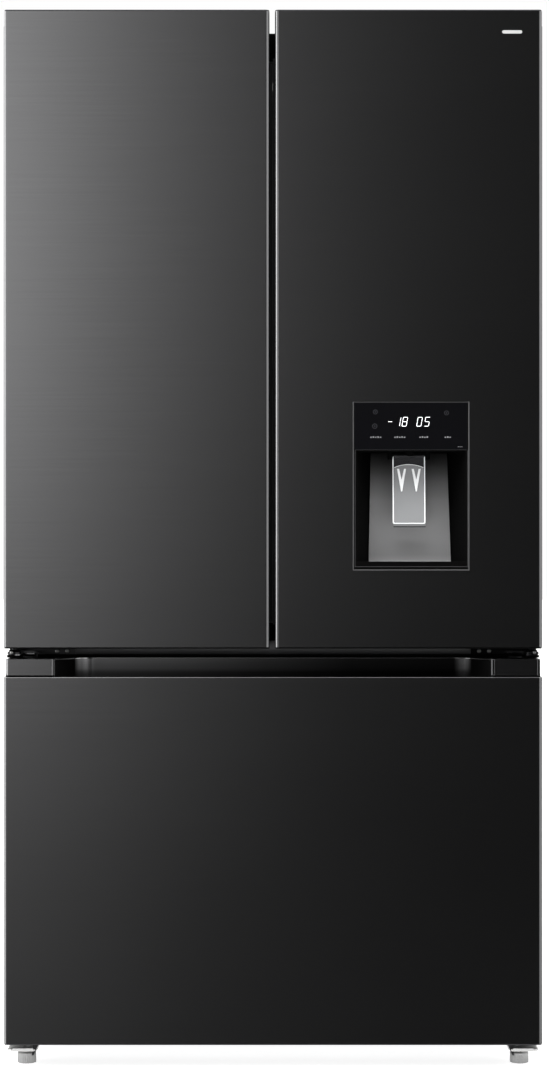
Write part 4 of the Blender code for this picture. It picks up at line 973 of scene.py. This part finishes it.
def splash():
    """The grey leaning plate with a lip that turns forward at its foot."""
    low_z, high_z = NICHE_Z[0] + 0.0003, NICHE_Z[1] - 0.0003
    tall, foot, count = high_z - low_z, splash_y(low_z), 14
    rows = [(low_z, foot - 0.003), (low_z + 0.0006, foot - 0.0014), (low_z + 0.0018, foot - 0.0003)]
    levels = (low_z + tall * step / count for step in range(1, count + 1))
    rows += [(z, splash_y(z)) for z in levels]
    work = bmesh.new()
    front, rear = [], []
    for z, y in rows:
        share = (z - low_z) / tall
        left = 0.164 + (0.1685 - 0.164) * share
        right = 0.3047 + (0.2998 - 0.3047) * share
        for verts, depth in ((front, 0.0003), (rear, 0.0028)):
            verts.append([work.verts.new((x, y + depth, z)) for x in (left, right)])
    for step in range(len(rows) - 1):
        (a, b), (c, d) = front[step : step + 2], rear[step : step + 2]
        for quad in ((a[0], a[1], b[1], b[0]), (c[1], c[0], d[0], d[1])):
            work.faces.new(quad)
        for near in (0, 1):
            quad = (a[near], c[near], d[near], b[near])
            work.faces.new(quad if near else quad[::-1])
    for step in (0, -1):
        work.faces.new((front[step][0], front[step][1], rear[step][1], rear[step][0]))
    return from_bmesh(work)


splash_piece = on_door("dispenser_splash_plate", splash(), SPLASH_GREY, 45)
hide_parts("splash_plate")
drip = rounded((NICHE_X[0] + 0.0006, 0.85), (NICHE_X[1] - 0.0006, 0.8562), 0.001)
on_door("dispenser_drip_lip", front_plate([drip], 0.003, 0.0056, 0.0008), NICHE_BLACK)
spout = [
    (0, 0), (0.0048, 0), (0.0056, 0.0006), (0.006, 0.004), (0.0085, 0.0055), (0.0085, 0.0095), (0, 0.0095),
]
on_door("dispenser_spout", lathe(spout, (0.232, FRONT + 0.024, 1.036)), NICHE_BLACK)
PIVOT = Vector((0.232, FRONT + 0.048, 1.037))
lugs = [
    block((near, PIVOT.y - 0.006, PIVOT.z - 0.006), (near + 0.0075, PIVOT.y + 0.006, 1.0455), 0.001)
    for near in (PIVOT.x - 0.036, PIVOT.x + 0.0285)
]
on_door("dispenser_lever_lugs", joined(lugs), NICHE_BLACK)


def paddle_part(*meshes):
    """Parts of the lever, drawn upright and then leant onto its pivot."""
    lean = Matrix.Translation((0, PIVOT.y, PIVOT.z)) @ Matrix.Rotation(math.radians(-5.8), 4, "X")
    mesh = joined(meshes)
    mesh.transform(lean @ Matrix.Translation((0, 0, -PIVOT.z)))
    return mesh


# The lever: a clear paddle whose rim and two flutes are light grey, painted highlights of the clear
# plastic, below a darker neck; a dark strip under its foot is a painted shadow.
half, low, high, radius = 0.028, 0.9205, PIVOT.z - 0.001, 0.003
lens_top = 1.0185
x = PIVOT.x
inner_x, inner_low, inner_radius = half - 0.0021, low + 0.0017, radius - 0.001
rim_outline = (
    [(x - half, high)]
    + arc((x - half + radius, low + radius), radius, 180, 270, 8)
    + arc((x + half - radius, low + radius), radius, 270, 360, 8)
    + [(x + half, high), (x + inner_x, high)]
    + arc((x + inner_x - inner_radius, inner_low + inner_radius), inner_radius, 360, 270, 8)
    + arc((x - inner_x + inner_radius, inner_low + inner_radius), inner_radius, 270, 180, 8)
    + [(x - inner_x, high)]
)
arch = arc((x, lens_top - 0.056), 0.06, 90 - 24.5, 90 + 24.5, 16)
rim = [plate([rim_outline], -0.0013, 0.0013, "Y", 0.0007, 4)]
rim.append(tube([(across, -0.0007, up) for across, up in arch], 0.0005))
for near in (x - 0.0125, x + 0.0125):
    loops = [
        [(near - wide, top), (near + wide, top), (near + tip, foot), (near - tip, foot)]
        for wide, top, tip, foot in ((0.0078, 1.015, 0.001, 0.976), (0.0078 * 0.58, 1.0165, 0.0001, 0.9965))
    ]
    rim.append(cut(plate(loops[:1], -0.0024, 0.0, "Y", 0.0009, 3), plate(loops[1:], -0.01, 0.01, "Y")))
web_foot = [(x - half + 0.002, low + 0.002), (x + half - 0.002, low + 0.002)]
web = plate([web_foot + arch], -0.0007, 0.0009, "Y")
side_x, neck_low, neck_high = half - 0.0022, lens_top - 0.004, high - 0.001
neck = [(x - side_x, neck_low), (x + side_x, neck_low), (x + side_x, neck_high), (x - side_x, neck_high)]
rod = tube([(x - 0.0282, 0.0012, PIVOT.z), (x + 0.0282, 0.0012, PIVOT.z)], 0.0022)
foot = block((x - half + 0.0015, 0.0006, low - 0.0044), (x + half - 0.0003, 0.0026, low + 0.001), 0.0006)
# A thin dark strip under the paddle's foot: painted shadow.
shadow_line_low, shadow_line_high = (x - half + 0.0013, 0.0002, low - 0.0056), (x + half + 0.0001, 0.0026, low - 0.004)
painted_shadow_line = block(shadow_line_low, shadow_line_high, 0.0005)
paddle = piece("lever_paddle", paddle_part(web), PADDLE, "dispenser_lever")
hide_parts("dispenser_lever")
paddle.visible_shadow = False
piece("lever_paddle_rim", paddle_part(*rim), PADDLE_RIM_PAINTED_HIGHLIGHT, "dispenser_lever").visible_shadow = False
neck_mesh = paddle_part(plate([neck], 0.0002, 0.0016, "Y", 0.0004), rod, painted_shadow_line)
piece("lever_neck", neck_mesh, PADDLE_DARK_AND_PAINTED_SHADOW, "dispenser_lever")
piece("lever_foot", paddle_part(foot), PADDLE_FOOT, "dispenser_lever")

piece("door_badge", front_plate([BADGE_OUTLINE], 0.0001, 0.0018, 0.0006), BADGE, "right_door")


# ---------------- feet, brackets and hinges

FOOT_X, FOOT_Y = 0.4215, FRONT + 0.055


def knurled_foot(side):
    """The levelling foot's gripped disc."""
    radius, height, teeth = 0.016, 0.0173, 30
    outline = []
    for tooth in range(teeth):
        middle = 360 * tooth / teeth
        for turn, reach in ((-4.4, radius - 0.001), (-2.6, radius), (2.6, radius), (4.4, radius - 0.001)):
            angle = math.radians(middle + turn)
            outline.append((side * FOOT_X + reach * math.cos(angle), FOOT_Y + reach * math.sin(angle)))
    return plate([outline], 0.0, height, "Z", 0.0007, 2)


def thread_profile(radius, low, high, pitch):
    """A turned thread's profile."""
    core = radius * 0.85
    points = [(0.0, low), (core, low)]
    for step in range(int((high - low) / pitch)):
        start = low + pitch * step
        points += [(core, start + pitch * 0.1), (radius, start + pitch * 0.5), (core, start + pitch * 0.9)]
    return points + [(0.0, high)]


COLLAR = [
    (0.005, 0.0), (0.0088, 0.0), (0.0094, 0.0006), (0.0094, 0.003), (0.008, 0.004), (0.005, 0.004),
    (0.005, 0.0),
]
RIVET = [(0.0, -0.004), (0.004, -0.0036), (0.0066, -0.002), (0.0072, 0.0), (0.0, 0.0)]
WEDGE = [(0.3975, 0.04), (0.3975, 0.039), (0.4075, 0.0165), (0.4105, 0.0165), (0.4085, 0.04)]
SCREWS = ((0.3553, 0.7018, 0.0036), (0.3726, 0.7018, 0.0036), (0.4046, 0.7, 0.0018))
ARM_FRONT, EYE, EYE_REACH = -0.3003, (0.44, FRONT + 0.03), 0.0128
for word, side in SIDES.items():
    # The right side's hinge parts take darker copies of the left side's materials: painted shade, as the
    # light falls from the left.
    shaded_side = side > 0
    body = word + "_front_foot"
    foot = piece(word + "_foot_base", knurled_foot(side), FOOT_GREY, body, 50)
    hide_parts(word + "_front_foot")
    thread = thread_profile(0.005, 0.0172, 0.026, 0.0011)
    piece(word + "_foot_stem", lathe(thread, (side * FOOT_X, FOOT_Y, 0.0), "Z", 32), ZINC, body)
    soften(word + "_foot_bracket", BRACKET_ZINC, 0.0007, 3)
    support = plate([flipped(side, WEDGE)], -0.339, -0.283, "Y", 0.0004, 2)
    piece(word + "_foot_support", support, BLACK, "cabinet")
    soften(word + "_middle_hinge", SHADED_STEEL if shaded_side else HINGE_STEEL, 0.0004)
    soften(word + "_top_hinge", ZINC, 0.0004)
    soften(word + "_hinge_cover", CAP_PLASTIC, 0.0008)
    for label, profile, level, material in (
        ("collar", COLLAR, 0.7032, NICHE_BLACK),
        ("rivet", RIVET, 0.699, BLACK),
    ):
        turned = lathe(profile, (side * EYE[0], EYE[1], level))
        piece(word + "_hinge_" + label, turned, material, "cabinet")
    heads = [
        screw_head((side * across, -0.2829, level), -1, radius)
        for across, level, radius in SCREWS
    ]
    piece(word + "_hinge_screws", joined(heads), DARK_ZINC, "cabinet")
    pin = screw_head((side * 0.4435, FRONT + 0.0182, 0.7028), -1, 0.0026, 0.0018)
    piece(word + "_hinge_pin_end", pin, DARK_ZINC if shaded_side else ZINC, "cabinet")
    # The black band in front of each hinge arm carries the drawer's shadow strip on across the hinge:
    # painted shadow.
    shadow_band = arc(EYE, EYE_REACH, 190, 350, 16)
    shadow_band += [(0.4522, -0.296), (0.41, -0.296), (0.41, ARM_FRONT), (0.4275, ARM_FRONT)]
    edge = [(0.4385, -0.296), (0.41, -0.296), (0.41, ARM_FRONT - 0.0004), (0.4275, ARM_FRONT - 0.0004)]
    edge += arc(EYE, EYE_REACH + 0.0003, 190, 262, 8)
    for label, outline, low_z, high_z, material in (
        ("shadow_band", shadow_band, 0.6938, 0.6976, NICHE_BLACK),
        ("edge", edge, 0.6976, 0.6996, SHADED_STEEL if shaded_side else STEEL),
    ):
        band = plate([flipped(side, outline)], low_z, high_z)
        piece(word + "_hinge_arm_" + label, band, material, "cabinet")


# ---------------- cabinet

for material, width, steps, nodes in (
    (PAINT, 0.0012, 3, "cabinet_shell"),
    (WHITE, 0.0015, 3, "fridge_liner freezer_liner"),
    (WHITE, 0.001, 2, "air_duct_cover evaporator_cover"),
    (FOAM, 0.0, 2, "insulation_foam"),
    (GALVANISED, 0.0006, 2, "base_pan rear_panel"),
    (GALVANISED, 0.0004, 2, "machine_cover"),
    (ALUMINIUM, 0.0002, 1, "evaporator"),
    (IRON, 0.0, 2, "compressor condenser"),
    (BLACK, 0.0008, 2, "mullion"),
    (BLACK, 0.0006, 2, "water_tank_cap"),
    (BLACK, 0.0005, 2, "fan_shroud"),
    (BLACK, 0.0004, 2, "condenser_fan evaporator_fan"),
    (ZINC, 0.0008, 2, "left_cabinet_rail right_cabinet_rail left_slide right_slide"),
    (ZINC, 0.0006, 2, "drawer_frame"),
    (TYRE, 0.0008, 2, "left_rear_wheel right_rear_wheel"),
    (CLEAR, 0.0009, 2, "left_crisper right_crisper"),
    (CLEAR, 0.0008, 2, "left_upper_bin left_middle_bin left_lower_bin right_upper_bin water_tank"),
    (GLASS, 0.0008, 2, "upper_shelf lower_shelf crisper_cover"),
    (BASKET_WHITE, 0.001, 2, "drawer_basket upper_tray"),
):
    for node in nodes.split():
        soften(node, material, width, steps)

# The upper guide reaches up over the cabinet's front edge between the doors; that reach is painted shade,
# black where the gap is in shade.
guides = [
    plate([rounded((-0.0105, low_z), (0.011, high_z), 0.003)], -0.2822, -0.2806, "Y", 0.0005, 2)
    for low_z, high_z in ((1.719, 1.7672), (0.72, 0.751))
]
piece("mullion_guides_and_gap_shade", joined(guides), NICHE_BLACK, "cabinet")


def bar_along_x(low_x, high_x, low, high, radius):
    """A bar across the object with a rounded section; low and high are (y, z)."""
    return plate([rounded(low, high, radius, 5)], low_x, high_x, "X", 0.0004, 2)


# Trims, rails and grips that are clipped onto the clear and white parts.
for level, word in ((1.44, "upper_shelf"), (1.19, "lower_shelf"), (0.955, "crisper_cover")):
    trim = bar_along_x(-0.3955, 0.3955, (-0.13, level - 0.0052), (-0.1255, level + 0.0082), 0.0016)
    piece(word + "_front_trim", trim, ALUMINIUM, "cabinet")
for word, side in SIDES.items():
    low, high = sided(side, (0.0165, 0, 0), (0.3845, 0, 0))
    grip = bar_along_x(low[0], high[0], (-0.1255, 0.917), (-0.117, 0.9376), 0.003)
    piece(word + "_crisper_grip", grip, BASKET_WHITE, word + "_crisper")
for node in ("left_upper_bin", "left_middle_bin", "left_lower_bin", "right_upper_bin"):
    low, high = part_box(node)
    section_low, section_high = (high.y - 0.003, high.z - 0.016), (high.y, high.z - 0.002)
    rail = bar_along_x(low.x + 0.006, high.x - 0.006, section_low, section_high, 0.0013)
    piece(node + "_rail", rail, ALUMINIUM, node.split("_")[0] + "_door")

# Ceiling lamp of the fridge compartment and the dark outlets of the two air covers.
lamp_rim = [
    rounded((-0.11, -0.085), (0.11, 0.005), 0.012),
    rounded((-0.104, -0.079), (0.104, -0.001), 0.008),
]
piece("fridge_lamp_rim", plate(lamp_rim, 1.7205, 1.7249, "Z", 0.001, 2), WHITE, "cabinet")
lens = plate([rounded((-0.1042, -0.0792), (0.1042, -0.0008), 0.008)], 1.7215, 1.7248, "Z", 0.0012, 2)
piece("fridge_lamp_lens", lens, LAMP, "cabinet")
for name, across, half, y, levels in (
    ("air_duct_outlets", 0.062, 0.03, 0.2615, (1.04, 1.06, 1.28, 1.3, 1.53, 1.55, 1.65, 1.67)),
    ("evaporator_cover_slots", 0.23, 0.06, 0.1945, (0.4, 0.418, 0.436)),
):
    slots = []
    for middle in (-across, across):
        for z in levels:
            slot = rounded((middle - half, z - 0.004), (middle + half, z + 0.004), 0.0038, 5)
            slots.append(plate([slot], y, y + 0.0009, "Y"))
    piece(name, joined(slots), BLACK, "cabinet")


def back_screws(name, places):
    """Screws in the back, at (x, z) places."""
    heads = [screw_head((x, PANEL_BACK, z), 1, 0.0044) for x, z in places]
    piece(name, joined(heads), ZINC, "cabinet")


# Back: pressed ribs and screws on the rear panel, hoods and screws on the machine cover.
ribs = [
    plate(
        [rounded((x - 0.011, 0.42), (x + 0.011, 1.64), 0.0105)], PANEL_BACK - 0.0006, PANEL_BACK + 0.0011,
        "Y", 0.001, 3,
    )
    for x in (-0.3, -0.1, 0.1, 0.3)
]
piece("rear_panel_ribs", joined(ribs), GALVANISED, "cabinet")
panel_screws = [(side * 0.444, 0.3 + 0.288 * step) for side in (-1, 1) for step in range(6)]
panel_screws += [(x, z) for x in (-0.25, 0.0, 0.25) for z in (1.757, 0.273)]
back_screws("rear_panel_screws", panel_screws)
hoods = []
for side in (-1, 1):
    near, far = sorted((side * 0.058, side * 0.362))
    for row in range(7):
        z = 0.075 + 0.022 * row + 0.008
        places = ((-0.0004, 0.004), (0.0044, -0.0006), (0.0036, -0.0012), (-0.0004, 0.0022))
        hoods.append(plate([[(PANEL_BACK + y, z + up) for y, up in places]], near, far, "X"))
piece("machine_cover_hoods", joined(hoods), GALVANISED, "cabinet")
cover_screws = [(x, z) for x in (-0.4, 0.0, 0.4) for z in (0.05, 0.25)]
back_screws("machine_cover_screws", cover_screws)

# Copper pipes from the compressor, and the hubs of the rear wheels.
low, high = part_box("compressor")
top, deep = (low.x + high.x) / 2, (low.y + high.y) / 2
suction = [(top + 0.03, 0.15), (top + 0.03, 0.214), (top + 0.06, 0.224), (0.04, 0.224), (0.05, 0.2255)]
discharge = [
    (top - 0.03, 0.15), (top - 0.03, 0.21), (top - 0.045, 0.22), (-0.33, 0.222), (-0.35, 0.215),
    (-0.36, 0.19),
]
pipes = [tube([(x, deep, z) for x, z in points], 0.0032) for points in (suction, discharge)]
piece("compressor_pipes", joined(pipes), COPPER, "cabinet")
for word in SIDES:
    low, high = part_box(word + "_rear_wheel")
    width = (high.x - low.x) / 2
    hub = [(0.0, -width), (0.008, -width), (0.0095, 0.002 - width), (0.0095, width - 0.002), (0.008, width)]
    hub = lathe(hub + [(0.0, width)], (low + high) / 2, "X", 32)
    piece(word + "_wheel_hub", hub, FOOT_GREY, word + "_rear_wheel")


# ---------------- floor, light and camera


def stage_floor():
    """A wide pale floor that the steel doesn't mirror."""
    work = bmesh.new()
    bmesh.ops.create_grid(work, x_segments=8, y_segments=8, size=30.0)
    made = placed("floor", from_bmesh(work))
    made.data.materials.append(
        surface(
            "floor_paper", (0.6,) * 3, 0.9, 0.0, 3.0, 0.01, 0.02, 0.0,
            Emission_Color=(1.0,) * 4, Emission_Strength=0.84,
        )
    )
    made.visible_glossy = False
    made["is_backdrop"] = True


def soft_light(name, place, aim, size, energy):
    """A large soft light that shades the surfaces and isn't mirrored in them."""
    data = bpy.data.lights.new(name, "AREA")
    data.shape = "RECTANGLE"
    data.size, data.size_y = size
    data.energy = energy
    made = placed(name, data)
    made.location = place
    made.rotation_euler = (Vector(aim) - Vector(place)).to_track_quat("-Z", "Y").to_euler()
    made.visible_glossy = False


def studio_world():
    """The studio: a bright softbox to the left that fades across the front, with bright sides."""
    world = bpy.data.worlds.new("studio")
    bpy.context.scene.world = world
    world.use_nodes = True
    tree = world.node_tree
    tree.nodes.clear()

    def step(operation, *values):
        return sum_of(tree, operation, *values)

    x, y, z = (own_place(tree)[axis] for axis in "XYZ")
    turn = step("ARCTAN2", x, step("MULTIPLY", y, -1.0))
    rise = step("ARCSINE", z)
    steepness, start, brightest, whole = 19.6, -0.13, 1.08, 2 * math.pi
    fade = step("EXPONENT", step("MULTIPLY_ADD", turn, -steepness, steepness * start))
    fade = step("MINIMUM", fade, 1.0)
    reach_stops = [(0.0, 0.0), (0.14, 0.0), (0.28, 0.75), (0.36, 1.0), (1.0, 1.0)]
    reach = ramp_of(tree, step("MULTIPLY_ADD", turn, 0.5, 0.5), reach_stops)
    upright_stops = [
        (0.0, 0.0), (0.26, 0.02), (0.36, 0.057), (0.42, 0.115), (0.47, 0.27), (0.52, 0.74), (0.57, 1.0),
        (0.66, 1.0), (0.75, 0.85), (1.0, 0.8),
    ]
    upright = ramp_of(tree, step("ADD", rise, 0.5), upright_stops)
    core = step("MULTIPLY", step("MULTIPLY", fade, reach), step("MULTIPLY", upright, brightest))
    # Brightness by heading, in radians from straight in front, positive to the right
    headings = (
        (-3.14, 0.55), (-2.5, 0.5), (-2.25, 0.1), (-1.98, 0.1), (-1.86, 2.8), (-1.08, 2.8),
        (-0.9, 0.55), (-0.55, 0.14), (-0.32, 0.04), (-0.2, 0.001), (0.2, 0.001), (0.33, 0.03),
        (0.45, 1.0), (0.65, 0.9), (0.9, 0.4), (1.08, 0.95), (1.86, 0.95), (1.98, 0.08), (2.25, 0.1),
        (2.5, 0.5), (3.14, 0.55),
    )
    stops = [((angle + math.pi) / whole, value) for angle, value in headings]
    round_about = ramp_of(tree, step("MULTIPLY_ADD", turn, 1 / whole, 0.5), stops)
    level = step("MULTIPLY_ADD", rise, 1 / math.pi, 0.5)
    height_stops = [(0.0, 0.35), (0.35, 0.35), (0.46, 0.7), (0.55, 1.0), (0.75, 1.0), (1.0, 0.9)]
    height = ramp_of(tree, level, height_stops)
    overhead = ramp_of(tree, level, [(0.0, 0.0), (0.69, 0.0), (0.78, 0.55), (1.0, 0.85)])
    ground = ramp_of(tree, step("ADD", rise, 1.0), [(0.0, 0.34), (0.44, 0.3), (0.55, 0.0), (1.0, 0.0)])
    total = step("ADD", core, step("MULTIPLY", round_about, height))
    total = step("ADD", step("ADD", total, overhead), ground)
    seen = put(tree, "LightPath").outputs["Is Camera Ray"]
    shade, paper = (put(tree, "Background", {"Color": colour}).outputs[0] for colour in (total, (1.0,) * 4))
    mix = put(tree, "MixShader", {0: seen, 1: shade, 2: paper})
    put(tree, "OutputWorld", {"Surface": mix.outputs[0]})


def make_camera():
    """Straight in front at half height, and far enough away for straight edges."""
    distance, seen_height, level = 4.0, 1.818, 0.897
    data = bpy.data.cameras.new("camera")
    data.sensor_width = 36.0
    data.lens = data.sensor_width * distance / seen_height
    made = placed("camera", data)
    made.location = (0.0025, FRONT - distance, level)
    made.rotation_euler = (math.pi / 2, 0, 0)
    bpy.context.scene.camera = made


stage_floor()
studio_world()
soft_light("key", (-0.5, -2.3, 4.3), (0.0, 0.0, 0.7), (2.4, 1.6), 150.0)
soft_light("top", (0.0, 0.0, 5.5), (0.0, 0.0, 0.0), (7.0, 7.0), 520.0)
soft_light("back_fill", (1.5, 4.5, 2.5), (0.0, 0.0, 0.9), (3.0, 2.5), 90.0)
make_camera()
bpy.context.scene.view_settings.view_transform = "Standard"
bpy.context.scene.view_settings.look = "None"

low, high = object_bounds()
